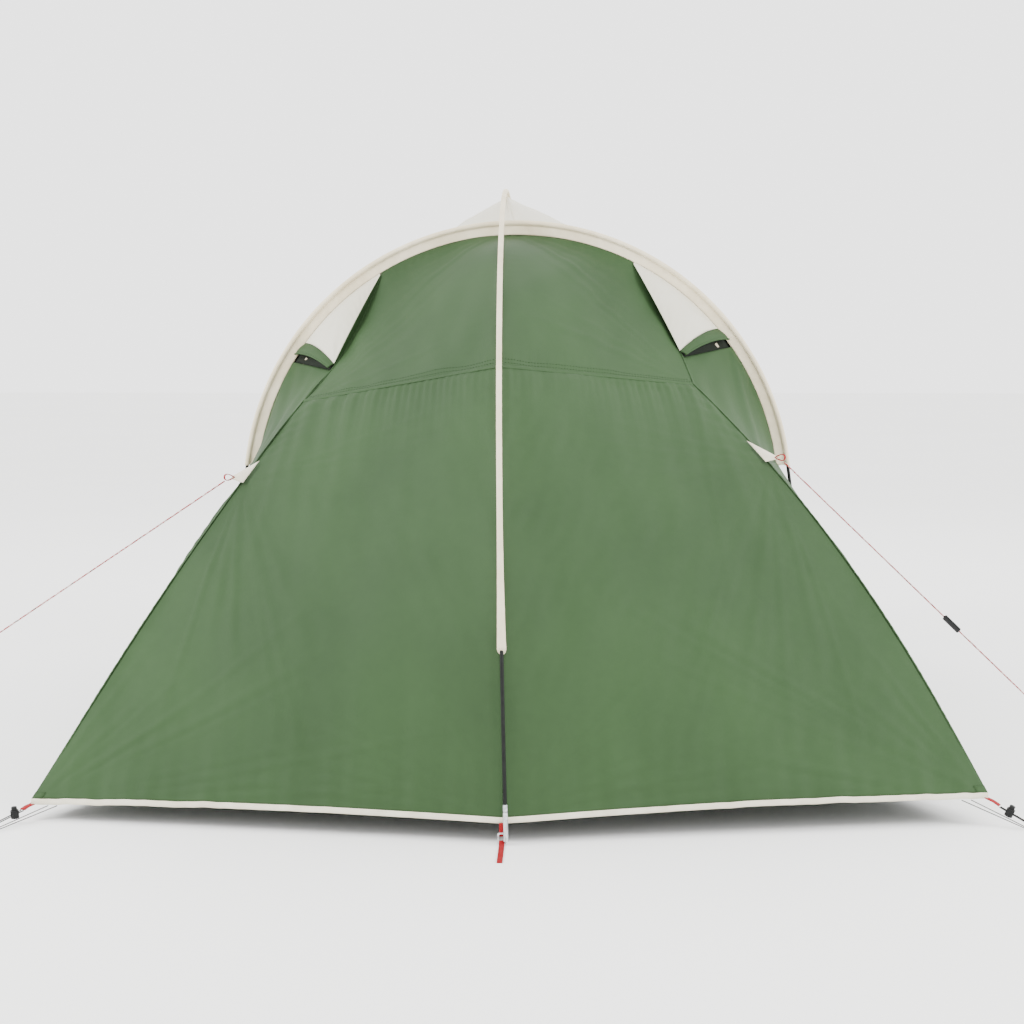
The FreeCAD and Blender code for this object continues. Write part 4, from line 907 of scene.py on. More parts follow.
# %% Sleeves
def carry(name, path, inward, across, outlines):
    """Carry an outline along a path; outlines is (rings, points, 2), inwards and across."""
    rings, count = outlines.shape[:2]
    points = path[:, None] + inward[:, None] * outlines[..., :1] + across[:, None] * outlines[..., 1:]
    faces = []
    for ring in range(rings - 1):
        here, after = ring * count, (ring + 1) * count
        for k in range(count):
            n = (k + 1) % count
            faces.append((here + k, here + n, after + n, after + k))
    faces.append(tuple(range(count))[::-1])
    faces.append(tuple(range((rings - 1) * count, rings * count)))
    along = travelled(path)
    around = travelled(outlines[0])
    uv = np.stack(np.meshgrid(along, around, indexing="ij"), axis=-1).reshape(-1, 2)
    piece = new_mesh(name, points.reshape(-1, 3), faces, uv)
    centre = path[0] + inward[0] * outlines[0, :, 0].mean() + across[0] * outlines[0, :, 1].mean()
    first = piece.data.polygons[0]
    if first.normal.dot(first.center - Vector(centre)) < 0:
        piece.data.flip_normals()
    return piece


def sleeve_outline(radius, reach, half_web):
    """A round tube whose underside runs into a flat web: inwards first, then across."""
    root = math.asin(half_web / radius)
    turn = np.linspace(root, 2 * math.pi - root, 20)
    tube = np.stack([radius * np.cos(turn), radius * np.sin(turn)], axis=1)
    down = np.linspace(radius * math.cos(root), reach, 7)[1:]
    left = np.stack([down, -half_web * np.ones(len(down))], axis=1)
    right = np.stack([down[::-1], half_web * np.ones(len(down))], axis=1)
    return np.concatenate([tube, left, right])


def wander(length, pitches, height):
    """A smooth random wave along a length."""
    waves = [np.sin(length * 2 * math.pi / pitch + rng.uniform(0, 6.3)) * rng.uniform(0.4, 1)
             for pitch in pitches]
    return height * sum(waves) / len(pitches)


def sleeve_along(name, path, inward, across, reach, radius, web=0.0008, cut=0.0):
    """reach and radius may change along the path; cut slants both ends by that length."""
    rings = len(path)
    length = travelled(path)
    reach, radius = np.broadcast_to(reach, rings), np.broadcast_to(radius, rings)
    outlines = np.stack([sleeve_outline(r, d, web) for r, d in zip(radius, reach)])
    depth = np.clip(outlines[..., 0] / reach[:, None], 0, 1)
    outlines[..., 1] += wander(length, (0.024, 0.041, 0.09), 0.0022)[:, None] * np.sin(math.pi * depth)
    swelling = 1 + wander(length, (0.035, 0.07, 0.16), 0.05)[:, None]
    on_tube = outlines[..., 0] < radius[:, None]
    outlines[..., 0] = np.where(on_tube, outlines[..., 0] * swelling, outlines[..., 0])
    tangents = unit(np.gradient(path, axis=0))
    piece = carry(name, path, inward, across, outlines)
    if cut:
        points = np.array([v.co[:] for v in piece.data.vertices]).reshape(rings, -1, 3)
        for ring, way in ((0, -1), (rings - 1, 1)):
            share = np.clip(outlines[ring, :, 0] / reach[ring], 0, 1)
            points[ring] += way * cut * share[:, None] * tangents[ring]
        piece.data.vertices.foreach_set("co", points.astype(np.float32).ravel())
    return piece


sleeve_low = spine_angle(SLEEVE_END_Z)
turn = np.linspace(sleeve_low, math.pi - sleeve_low, 520)
path = spine_at(-1, turn)
tangents = unit(np.gradient(path, axis=0))
below = unit(stack(0, RISE * np.cos(turn), -HALF * np.sin(turn)))
across = unit(np.cross(tangents, below))
below = unit(np.cross(across, tangents))
if below[len(turn) // 2, 2] > 0:
    below, across = -below, -across
flare = (1 - np.clip((path[:, 2] - SLEEVE_END_Z) / 0.30, 0, 1)) ** 2
sleeve = sleeve_along("spine_sleeve_cloth", path, below, across, 0.016, 0.0062 + 0.0034 * flare, cut=0.018)
finish_piece(sleeve, sleeve_cream, "tent", "light_fly_cloth", "spine_sleeve")

for end, sign in ENDS.items():
    degrees = np.radians(np.linspace(LEG - 1.5, 181.5 - LEG, 420))
    path = stack(POLE_R * np.cos(degrees), sign * SETBACK, HOOP_Z + POLE_R * np.sin(degrees))
    inward = unit(np.array((0, sign * SETBACK, HOOP_Z)) - path)
    across = np.broadcast_to((0.0, 1.0, 0.0), path.shape)
    band = sleeve_along(f"{end}_hoop_sleeve_cloth", path, inward, across, POLE_R - BAND_R + 0.001, 0.0064,
                        web=0.0009, cut=-0.012)
    finish_piece(band, sleeve_cream, "tent", "light_fly_cloth", f"{end}_hoop_sleeve")
print("sleeves", [o.name for o in bpy.data.objects if "sleeve_cloth" in o.name])

# %% [markdown]
# The hem is bound with a folded tape. It follows the rippled lower edge of each panel, so its
# line is read from the panel's own bottom row. A lock stitch runs along it and along the seams:
# each stitch is a short thread, sunk at both ends. A real stitch is 2.5 mm long; it is drawn at
# 5 mm, which keeps the mesh small.

# %% Hem tapes and stitches
STITCH, STITCH_GAP = 0.0050, 0.0034
TAPE_HEIGHT, TAPE_THICK = 0.0125, 0.0030


def tape_along(name, top, outward, body, nodes):
    """A folded tape hanging from a line, with rounded edges, thin enough to follow ripples."""
    height, half, corner = TAPE_HEIGHT, TAPE_THICK / 2, TAPE_THICK * 0.35
    profile = np.array([(0, half - corner), (corner, half), (height - corner, half),
                        (height, half - corner), (height, corner - half), (height - corner, -half),
                        (corner, -half), (0, corner - half)])
    length = travelled(top)
    outlines = np.repeat(profile[None], len(top), axis=0)
    flare = wander(length, (0.05, 0.085, 0.19), 0.0014)[:, None] * (profile[None, :, 0] / height)
    outlines[..., 1] += flare
    down = np.broadcast_to((0.0, 0.0, -1.0), top.shape)
    outward = unit(outward - down * (outward * down).sum(-1, keepdims=True))
    finish_piece(carry(name, top, down, outward, outlines), binding_tape, body, "trim_tape", *nodes)


def stitches(name, line, outward, material, slot, lift):
    """Short threads along a line, each a flat six-sided bead."""
    length = travelled(line)
    starts = np.arange(0.004, length[-1] - STITCH, STITCH + STITCH_GAP)
    at = lambda d, array: np.stack([np.interp(d, length, array[:, k]) for k in range(3)], axis=-1)
    first, last = at(starts, line), at(starts + STITCH, line)
    up = unit(at(starts, outward))
    along = unit(last - first)
    side = np.cross(along, up) * 0.0005
    raised = (first + last) / 2 + up * (0.0006 + lift)
    low_first, low_last = first + up * lift * 0.2, last + up * lift * 0.2
    points = np.stack([low_first, raised - along * 0.0012 + side, raised + along * 0.0012 + side, low_last,
                       raised + along * 0.0012 - side, raised - along * 0.0012 - side,
                       (low_first + low_last) / 2 - up * 0.0004], axis=1)
    faces = []
    for k in range(len(starts)):
        b = 7 * k
        faces += [(b, b + 1, b + 2, b + 3), (b, b + 3, b + 4, b + 5), (b, b + 6, b + 1),
                  (b + 1, b + 6, b + 2), (b + 2, b + 6, b + 3), (b + 3, b + 6, b + 4),
                  (b + 4, b + 6, b + 5), (b + 5, b + 6, b)]
    finish_piece(new_mesh(name, points.reshape(-1, 3), faces), material, "tent", slot)


hem_panels = [f"{end}_lower_{side}_cloth" for end in ENDS for side in SIDES if (end, side) != DOOR_QUARTER]
hem_panels += [f"{end}_skirt_{side}_cloth" for end in ENDS for side in SIDES]
hem_panels += [f"middle_skirt_{side}_cloth" for side in SIDES]
for number, panel in enumerate(hem_panels):
    grid, normal = panels[panel]
    top, outward = grid[:, 0] + (0, 0, 0.002), normal[:, 0]
    nodes = ["hem_tape"] if number == 0 else []
    tape_along(panel.replace("cloth", "hem"), top, outward, "tent", nodes)
    stitches(panel.replace("cloth", "hem_stitch"), top - (0, 0, 0.0030), outward, sleeve_cream,
             "trim_tape", lift=0.0014)
for end in ENDS:
    for side in SIDES:
        grid, normal = panels[f"{end}_upper_{side}_cloth"]
        for row, label in ((1, "low"), (2, "high")):
            stitches(f"{end}_cross_{side}_stitch_{label}", grid[1:-1, row], normal[1:-1, row],
                     fly_green, "green_fly_cloth", lift=0.0002)
print("hems", len(hem_panels))

# %% [markdown]
# A flat felled seam is raised where the two panels overlap, so a narrow strip of the same cloth
# is laid over each joint: along the cross seam and up the side seam from corner to hood.

# %% Seam strips
SEAM_HEIGHT = 0.0012


def seam_strip(name, line, outward, width, material, slot="green_fly_cloth"):
    """A low strip with a groove along its middle, laid on a line."""
    length = travelled(line)
    half, height = width / 2, SEAM_HEIGHT
    profile = np.array([(-0.0008, half), (height * 0.7, half * 0.86), (height, half * 0.4),
                        (height * 0.75, 0), (height, -half * 0.4), (height * 0.7, -half * 0.86),
                        (-0.0008, -half), (-0.0012, 0)])
    outlines = np.repeat(profile[None], len(line), axis=0)
    outlines[..., 0] += wander(length, (0.02, 0.033, 0.06), 0.0007)[:, None]
    outward = unit(outward)
    sideways = unit(np.cross(unit(np.gradient(line, axis=0)), outward))
    finish_piece(carry(name, line, outward, sideways, outlines), material, "tent", slot)


for end in ENDS:
    for side in SIDES:
        upper_normal = panels[f"{end}_upper_{side}_cloth"][1]
        shares = np.linspace(0, 1, 150)
        cross = cross_seam(end, side)(shares)
        direction = np.repeat(upper_normal[35:36, 0], 150, axis=0)
        seam_strip(f"{end}_cross_{side}_seam", cross, direction, 0.010, fly_green)
        low_edge, high_edge = lower_side_edge(end, side), upper_side_edge(end, side)
        line = np.concatenate([low_edge(np.linspace(0.012, 1, 220)), high_edge(np.linspace(0.004, 0.97, 70))])
        wing_normal = panels[f"{end}_wing_{side}_cloth"][1]
        out = unit(wing_normal[0, 50] + upper_normal[-1, 5])
        seam_strip(f"{end}_side_{side}_seam", line, np.repeat(out[None], len(line), axis=0), 0.009, fly_green)
first_angle = math.acos(MIDDLE_Y / HALF)
angle = np.linspace(first_angle, math.pi - first_angle, 120)
spine = spine_at(-1, angle, ridge_drop(angle))
spine[:, 0] *= 1 - (spine[:, 1] / MIDDLE_Y) ** 2
seam_strip("roof_ridge_seam", spine + (0, 0, 0.0004), np.broadcast_to((0.0, 0.0, 1.0), spine.shape), 0.014,
           fly_light, slot="light_fly_cloth")
print("seams done")

# %% [markdown]
# Each rear vent is a light hood that stands proud of the roof on a wired green brim. A strip holds it open,
# and a net closes the gap behind. The net's near-black colour is painted shade: it stands for the dark inside
# of the tent seen through the gap. Its holes are about 1 mm; it is drawn with the 1.5 mm weave of the other
# cloths and clouds of dark and darker tone.

# %% Vent hoods
# The net's two near-black colours are painted shade: the dark inside of the tent seen through the vent gap.
shade_net = cloth_material("polyester net, painted shade of the vent", "#1d241b", "#0f130e", 0.85, 0.9, 0.0)


def hood_edges(side):
    """The seam beside the hood, its arc on the hoop, its open rim and the arc's low end."""
    face = face_y("rear")
    vent, top = pitched("rear", side, "vent"), hood_top("rear", side)
    edge = through([vent, (vent + top) / 2 + (0, -0.008, 0.004), top])
    start = edge(np.array([0.06]))[0]
    first, last = BRIM[side] + 2, HOOD[side] - 0.5
    arc = lambda s: hoop_at(side, first + (last - first) * np.asarray(s, float), face)
    low = arc(np.zeros(1))[0]
    rim = through([start, (start + low) / 2 + (0, -0.010, 0.010), low])
    return edge, arc, rim, low


def vent_hood(side):
    """The light hood, and a narrow gusset between its inner edge and the side seam."""
    edge, arc, rim, _ = hood_edges(side)
    inner_edge = lambda s: edge(0.06 + 0.91 * np.asarray(s, float))
    hood = coons(rim, straight(edge(np.array([0.97]))[0], arc(np.ones(1))[0]), inner_edge, arc, 60, 70)
    across, upward = lengths(hood)
    puff_across = np.sin(math.pi * np.linspace(0, 1, 60))[:, None]
    puff_upward = np.sin(math.pi * np.linspace(0, 1, 70) ** 0.6)[None]
    relief = 0.010 * puff_across * puff_upward + edge_fade(across, upward, ("bottom",), 0.015) * (
        fan(hood, rng, hood[0, 0], (hood[-1, 0], hood[-1, -1]), 5, 0.010, 0.0022)
        + fan(hood, rng, hood[-1, 0], (hood[0, 0], hood[0, -1]), 4, 0.010, 0.0020)
        + puckers(upward, across, rng, 0.022, 0.02, 0.0010))
    cloth_panel(f"vent_hood_{side}_cloth", hood, relief, fly_light, "tent", "light_fly_cloth",
                [f"vent_hood_{side}"])
    hood_edge = panels[f"vent_hood_{side}_cloth"][0][0]
    seam_points = upper_side_edge("rear", side)(np.linspace(0, 1, 400))
    nearest = np.linalg.norm(hood_edge[:, None] - seam_points[None], axis=2).argmin(axis=1)
    steps = np.linspace(-0.05, 1.0, 8)[None, :, None]
    gusset = seam_points[nearest][:, None] + (hood_edge - seam_points[nearest])[:, None] * steps
    print("vent gusset", side, "at most", round(float(lengths(gusset)[1].max()) * 1000, 1), "mm wide")
    cloth_panel(f"vent_gusset_{side}_cloth", gusset, np.zeros(gusset.shape[:2]), fly_green, "tent",
                "green_fly_cloth", [], thickness=0.0010)


print("hood starts at", np.round(hood_edges("left")[3], 3))

# %% [markdown]
# The brim hangs from the rim of the hood and curls forward a little, with a wire in its edge.
# The net stands a little behind, from the vent's point to the hood; its near-black colour is painted shade.

# %% Brims and netting
def vent_brim(side):
    low = hood_edges(side)[3]
    rim_line = panels[f"vent_hood_{side}_cloth"][0][:, 0]
    rim_length = np.linspace(0, 1, 60)
    drop = (hoop_at(side, BRIM[side], face_y("rear")) - low) * 1.5
    outward = np.array((SIDES[side] * 0.006, -0.006, 0.0))
    fall = drop * (0.35 + 0.65 * rim_length[:, None]) + outward
    steps = np.linspace(0, 1, 14)[None, :, None]
    curl = np.sin(math.pi * steps) * np.array((SIDES[side] * 0.003, -0.005, 0.0))
    brim = rim_line[:, None] + fall[:, None] * steps + curl
    cloth_panel(f"vent_brim_{side}_cloth", brim, np.zeros(brim.shape[:2]), fly_green, "tent",
                "green_fly_cloth", [], thickness=0.0022)
    wire = tube_along(f"vent_brim_{side}_wire", brim[:, -1] + (0, 0, 0.0004), 0.0024, sides=10)
    finish_piece(wire, fly_green, "tent", "green_fly_cloth")


def vent_shade_net(side):
    edge, _, _, low = hood_edges(side)
    back = np.array((0, 0.012, 0))
    gap = hoop_at(side, np.array([BRIM[side] - 0.5 * VENT_GAP]), face_y("rear"))[0] + back
    vent = pitched("rear", side, "vent") + back
    on_edge = edge(np.array([0.2]))[0] + back * 2
    net = coons(straight(vent, gap), straight(on_edge, low + back), straight(vent, on_edge),
                straight(gap, low + back), 24, 20)
    # The net's dark colour is painted shade of the tent's inside behind the vent gap.
    cloth_panel(f"vent_shade_net_{side}", net, plain_relief(net, 0.001, ()), shade_net, "tent",
                "green_fly_cloth", [], thickness=0.0006)


for side in SIDES:
    vent_hood(side)
    vent_brim(side)
    vent_shade_net(side)
print("vents done")

# %% [markdown]
# The door is the right half of the front end. It hangs from a straight fold between the peak
# and the front right corner, and is free along the zip and the hem, so it is made as its own
# sheet and rides on the door's body. The cloth above the fold stays on the tent, with a narrow
# placket that joins the zip's fixed tape to the spine sleeve.

# %% The zip's curve and the fold
ZIP_X, ZIP_C, ZIP_R = 0.022, (0.215565, 0.043635), 1.2684
FOLD_HIGH, FOLD_LOW = np.array((0.022, 1.11678, 0.93624)), np.array((0.99973, 1.28306, 0.06617))
FOLD_AXIS = unit(FOLD_LOW - FOLD_HIGH)
ZIP_FOOT = math.atan2(SPINE_FOOT_Z - ZIP_C[1], SPINE_FOOT_Y - ZIP_C[0])
ZIP_HEAD = math.atan2(FOLD_HIGH[2] - ZIP_C[1], FOLD_HIGH[1] - ZIP_C[0])


def zip_at(share, x=ZIP_X, out=0.0):
    angle = ZIP_FOOT + (ZIP_HEAD - ZIP_FOOT) * np.asarray(share, float)
    return stack(x, ZIP_C[0] + (ZIP_R + out) * np.cos(angle), ZIP_C[1] + (ZIP_R + out) * np.sin(angle))


print("zip from", round(math.degrees(ZIP_FOOT), 1), "to", round(math.degrees(ZIP_HEAD), 1), "degrees")

# %% Door
door_line = hem_edge("front", "right")
free = lambda s: zip_at(0.012 + 0.972 * np.asarray(s, float), x=ZIP_X + 0.012)
first = free(np.zeros(1))[0]
inward = unit((first - FOLD_HIGH) - FOLD_AXIS * np.dot(first - FOLD_HIGH, FOLD_AXIS))
door_bottom = lambda s: door_line(0.035 + 0.94 * np.asarray(s, float)) + (0, 0, HEM + 0.001)
fold_start = door_bottom(np.ones(1))[0] + inward * 0.002
fold_end = FOLD_HIGH + inward * 0.003 + FOLD_AXIS * 0.014
door = coons(door_bottom, straight(free(np.ones(1))[0], fold_end), free,
             straight(fold_start, fold_end), 130, 110)
across, upward = lengths(door)
door_folds = edge_fade(across, upward, ("bottom",), 0.03) * (
    fan(door, rng, fold_start, (door[0, 0], door[0, -1]), 9, 0.014, 0.0034)
    + fan(door, rng, fold_end, (door[0, 0], fold_start), 8, 0.014, 0.0030)
    + swell((across, upward), rng, [(0.9, 0.4, 70), (0.4, 0.16, 50)], 0.0040)
    + puckers(upward, across, rng, 0.028, 0.03, 0.0014))
door_folds = door_folds + hem_ripple(across, upward, 0.0024) * smooth(across / 0.05)
cloth_panel("door_cloth", door, door_folds, fly_green, "door", "green_fly_cloth", ["door_flap"])
grid, normal = panels["door_cloth"]
tape_along("door_hem_tape", grid[:, 0] + (0, 0, 0.002), normal[:, 0], "door", ["door_hem"])

# %% [markdown]
# The cloth above the fold is cut straight along it, just clear of the door.

# %% Cloth above the door
out = unit(np.cross(FOLD_AXIS, (0, 1, 0)))
out = out if out[2] > 0 else -out
low_line = straight(FOLD_HIGH + out * 0.0032 + (-0.008, 0, 0), FOLD_LOW + out * 0.0032)
edge = lower_side_edge("front", "right")
seam = cross_seam("front", "right")
above = coons(low_line, seam, straight(low_line(np.zeros(1))[0], seam(np.zeros(1))[0]),
              lambda s: edge(0.03 + 0.97 * np.asarray(s, float)), 110, 60)
across, upward = lengths(above)
above_folds = edge_fade(across, upward, (), 0.02) * (
    fan(above, rng, above[-1, 0], (above[0, 0], above[0, -1]), 5, 0.012, 0.0024)
    + fan(above, rng, above[-1, -1], (above[0, 0], above[-1, 0]), 5, 0.012, 0.0024)
    + swell((across, upward), rng, [(0.5, 0.2, 20)], 0.0026))
cloth_panel("front_lower_right_cloth", above, above_folds, fly_green, "tent", "green_fly_cloth",
            ["fly_front_lower_right"])

# %% [markdown]
# The placket is a narrow strip from the spine to just under the fixed tape of the zip.

# %% Placket
rise = np.linspace(0, 1, 160)
beside_spine = spine_edge("front", "right")(rise)
under_tape = zip_at(rise, x=0.007 + 0.023 * smooth((rise - 0.9) / 0.1), out=-0.003)
share = np.linspace(0, 1, 8)[None, :, None]
placket = beside_spine[:, None] * (1 - share) + under_tape[:, None] * share
widest = float(np.linalg.norm(beside_spine - under_tape, axis=1).max())
print("placket at most", round(widest * 1000), "mm wide")
cloth_panel("front_placket_cloth", placket, np.zeros(placket.shape[:2]), fly_green, "tent",
            "green_fly_cloth", [], thickness=0.0010)

# %% [markdown]
# A loose gusset of the same cloth bridges the fold, so that no daylight shows between the door and the cloth
# above it. One side is sewn to the tent and the other to the door.

# %% Fold gusset
def resampled(line, count):
    length = travelled(line)
    at = np.linspace(0, length[-1], count)
    return np.stack([np.interp(at, length, line[:, k]) for k in range(3)], axis=-1)


fixed_side = resampled(panels["front_lower_right_cloth"][0][:, 0], 150)
door_side = resampled(panels["door_cloth"][0][-1][::-1], 150)
apart = unit(fixed_side - door_side)
fixed_side, door_side = fixed_side + apart * 0.007, door_side - apart * 0.007
share = np.linspace(0, 1, 12)[None, :, None]
gusset = fixed_side[:, None] * (1 - share) + door_side[:, None] * share
gusset_out, _ = outward_normals(gusset)
gusset = gusset + gusset_out * 0.0018 * np.ones_like(share)
across, upward = lengths(gusset)
cloth_panel("door_fold_gusset", gusset, puckers(across, upward * 0, rng, 0.05, 0.1, 0.0008), fly_green, None,
            "green_fly_cloth", [])
strip = bpy.data.objects["door_fold_gusset"]
mean_gap = (fixed_side - door_side).mean(0)
square = unit(mean_gap - FOLD_AXIS * np.dot(mean_gap, FOLD_AXIS))
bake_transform(strip)
print("gusset", round(float(np.linalg.norm(fixed_side - door_side, axis=1).max()), 3), "m wide")

# %% [markdown]
# The zip is a coil on two knitted tapes. Each tooth is one turn of the coil, a short bar across
# the edge of its tape. Real turns stand 1.3 mm apart; they are drawn at 4 mm.

# %% Zip
TOOTH_PITCH = 0.004
for label, near, far, body, node in (("fixed", 0.0032, 0.0216, "tent", "zip_tape_fixed"),
                                     ("door", 0.0224, 0.0330, "door", "zip_tape_door")):
    shares = np.linspace(0.01, 0.975, 220)
    widths = np.linspace(near, far, 9)
    strip = np.stack([zip_at(shares, x=x) for x in widths], axis=0)
    length = travelled(strip[0])
    strip[..., 1] += wander(length, (0.03, 0.05, 0.11), 0.0006)[None, :]
    cloth_panel(f"zip_tape_{label}_cloth", strip, np.zeros(strip.shape[:2]), zip_tape, body,
                "zip_tape", [node], thickness=0.0010)
    edge_x = far - 0.0009 if label == "fixed" else near + 0.0009
    count = int(length[-1] / TOOTH_PITCH)
    shares = np.linspace(0.012, 0.97, count)
    centre, outer = zip_at(shares, x=edge_x), zip_at(shares, x=edge_x, out=0.0016)
    up = unit(outer - centre)
    along = unit(np.gradient(centre, axis=0)) * 0.0012
    side_step = np.array((0.0011, 0, 0))
    corners = [centre + a * along + b * side_step + up * h for h in (0.0001, 0.0018)
               for a, b in ((-1, -1), (1, -1), (1, 1), (-1, 1))]
    points = np.stack(corners, axis=1).reshape(-1, 3)
    box_faces = [(0, 3, 2, 1), (4, 5, 6, 7), (0, 1, 5, 4), (1, 2, 6, 5), (2, 3, 7, 6), (3, 0, 4, 7)]
    faces = [tuple(8 * k + i for i in face) for k in range(count) for face in box_faces]
    teeth = new_mesh(f"zip_teeth_{label}", points, faces, smooth=False)
    teeth.data.flip_normals()
    finish_piece(teeth, moulded_black, body, "zip_tape")
print("zip teeth", TOOTH_PITCH)

# %% [markdown]
# Each guy tab is a stiff cream triangle sewn over the side seam. Its nose carries a loop of red
# webbing, folded back on itself, which the guy line is tied to.

# %% Guy tabs
def loop_path(at, width, length, direction, up, points=40):
    """A teardrop loop that leaves a point in a direction and comes back."""
    t = np.linspace(0, 1, points)
    out = length * np.sin(math.pi * t)
    aside = width / 2 * np.sin(2 * math.pi * t)
    return np.array(at) + out[:, None] * direction + aside[:, None] * up


def flat_strap(name, path, wide_way, width, thickness, nodes=()):
    """A flat red strap along a path, with rounded edges; wide_way is the way its width lies."""
    half, deep = width / 2, thickness / 2
    profile = np.array([(-deep, -half * 0.9), (-deep * 0.4, -half), (deep * 0.4, -half), (deep, -half * 0.9),
                        (deep, 0), (deep, half * 0.9), (deep * 0.4, half), (-deep * 0.4, half),
                        (-deep, half * 0.9), (-deep, 0)])
    tangents = unit(np.gradient(path, axis=0))
    wide = unit(wide_way - tangents * (tangents * wide_way).sum(-1, keepdims=True))
    thick = np.cross(tangents, wide)
    piece = carry(name, path, thick, wide, np.repeat(profile[None], len(path), axis=0))
    finish_piece(piece, red_webbing, "tent", "red_webbing", *nodes)


for side, sx in SIDES.items():
    for end, sy in ENDS.items():
        tab = pitched(end, side, "tab")
        line = lower_side_edge(end, side)
        low, high = line(np.array([0.765, 0.825]))
        away = np.array((-sx * 0.010, sy * 0.016, 0.004))
        nose = tab + (sx * 0.019, sy * 0.015, 0.012)
        rows = np.linspace(0, 1, 16)
        base = (low + away)[None] * (1 - rows[:, None]) + (high + away)[None] * rows[:, None]
        reach = np.linspace(0, 1, 14)[None, :, None]
        blunt = nose + (rows[:, None] - 0.5) * 0.009 * unit(high - low)
        tri = base[:, None] * (1 - reach) + blunt[:, None] * reach
        bulge = 0.0016 * np.sin(math.pi * rows)[:, None] * np.sin(math.pi * np.linspace(0, 1, 14))[None]
        cloth_panel(f"guy_tab_{end}_{side}", tri, bulge + puckers(*lengths(tri), rng, 0.014, 0.02, 0.0006),
                    binding_tape, "tent", "trim_tape",
                    ["guy_tabs"] if (end, side) == ("rear", "left") else [], thickness=0.0016)
        direction = unit(np.array((sx * 0.86, sy * 0.45, 0.02)))
        path = loop_path(nose - direction * 0.006, 0.014, 0.024, direction, np.array((0.0, 0.0, 1.0)))
        flat_strap(f"guy_loop_{end}_{side}", path, np.array((sx * -0.45, sy * 0.86, 0.0)), 0.008, 0.0016)

# %% [markdown]
# Green patches double the cloth at the pegged corners, where the load comes in, and short red
# webbing straps carry it out to the pegs. The foot of the spine has a strap of its own: down
# from the hem, through the steel ring and flat along the ground.

# %% Patches and straps
for end, sy in ENDS.items():
    for side, sx in SIDES.items():
        if (end, side) == DOOR_QUARTER:
            continue
        grid, normal = panels[f"{end}_lower_{side}_cloth"]
        patch = grid[-4:, :3] + normal[-4:, :3] * 0.0012
        cloth_panel(f"corner_patch_{end}_{side}", patch, np.zeros(patch.shape[:2]), fly_green, "tent",
                    "green_fly_cloth", [], thickness=0.0010)

PEGS = {("rear", "left"): (-1.0470, -1.3260, 0.0210), ("rear", "right"): (1.0385, -1.2929, 0.0420),
        ("front", "left"): (-1.0570, 1.3150, 0.0130), ("front", "right"): (1.0500, 1.3150, 0.0170)}
for (end, side), goal in PEGS.items():
    start = pitched(end, side, "corner") + (0, 0, 0.001)
    goal = np.array(goal)
    along = unit(goal - start)
    reach = 0.028 if end == "rear" else 0.050
    t = np.linspace(-0.35, 1, 26)[:, None]
    path = start + along * reach * t + np.array((0, 0, 0.0012)) * np.sin(math.pi * np.clip(t, 0, 1))
    flat_strap(f"corner_strap_{end}_{side}", path, unit(np.cross(along, (0, 0, 1.0))), 0.015, 0.0021,
               ["corner_webbings"] if (end, side) == ("rear", "left") else [])

for end, sy in ENDS.items():
    y = sy * (SPINE_FOOT_Y + 0.0045)
    drop = np.stack([np.full(30, -0.009), y + sy * 0.0012 * np.sin(np.linspace(0, 3.1, 30)),
                     np.linspace(0.044, 0.0160, 30)], axis=1)
    flat_strap(f"foot_strap_{end}_upper", drop, np.array((1.0, 0, 0)), 0.011, 0.0020,
               ["foot_webbings"] if end == "rear" else [])
    s = np.linspace(0, 1, 60)
    above_ground = 0.0012 + 0.0075 * np.exp(-s / 0.03) + 0.0008 * np.abs(np.sin(s * 9))
    run = np.stack([np.full(60, -0.009), sy * (1.494 + 0.160 * s), above_ground], axis=1)
    flat_strap(f"foot_strap_{end}_lower", run, np.array((1.0, 0, 0)), 0.0115, 0.0018)
print("straps done")

# %% [markdown]
# The inner tent hangs inside, in a light breathable cloth over a heavy coated tray. Its walls
# sag a little between the points they hang from, and the tray's low walls are pinched up at the
# corners.

# %% Inner tent
def quad_grid(corners, across, upward):
    a, b, c, d = (np.array(p, float) for p in corners)
    return coons(straight(a, b), straight(d, c), straight(a, d), straight(b, c), across, upward)


INNER_RIDGE, INNER_HALF, WALL_LOW, WALL_HIGH = 1.150, 0.550, 0.101, 1.144


def inner_at(out, back, height):
    share = (INNER_RIDGE - height) / (INNER_RIDGE - 0.1)
    return np.array((out * 0.646 * share, back * (INNER_HALF + 0.446 * share), height))


def inner_relief(grid, sag):
    across, upward = lengths(grid)
    u = np.linspace(0, 1, grid.shape[0])[:, None]
    v = np.linspace(0, 1, grid.shape[1])[None]
    fade = edge_fade(across, upward, (), 0.03)
    return (-sag * np.sin(math.pi * u) * np.sin(math.pi * v)
            + fade * (fan(grid, rng, grid[0, 0], (grid[-1, 0], grid[-1, -1]), 5, 0.016, 0.0030)
                      + fan(grid, rng, grid[-1, 0], (grid[0, 0], grid[0, -1]), 5, 0.016, 0.0030)
                      + swell((across, upward), rng, [(0.6, 0.2, 85)], 0.0030)))


for side, sign in SIDES.items():
    corners = [inner_at(sign, -0.995, WALL_LOW), inner_at(sign, 0.995, WALL_LOW),
               inner_at(sign, 0.995, WALL_HIGH), inner_at(sign, -0.995, WALL_HIGH)]
    wall = quad_grid(corners, 90, 60)
    cloth_panel(f"inner_wall_{side}", wall, inner_relief(wall, 0.006), inner_cloth, "tent", "inner_cloth",
                ["inner_side_walls"] if side == "left" else [], thickness=0.0006)
corners = [inner_at(x, -1, z) for x, z in ((-0.99, WALL_LOW), (0.99, WALL_LOW),
                                           (0.99, WALL_HIGH), (-0.99, WALL_HIGH))]
rear_wall = quad_grid(corners, 70, 60)
cloth_panel("inner_rear_cloth", rear_wall, inner_relief(rear_wall, 0.006), inner_cloth, "tent", "inner_cloth",
            ["inner_rear_wall"], thickness=0.0006)
DOOR_HALF, DOOR_TOP = 0.250, 0.750
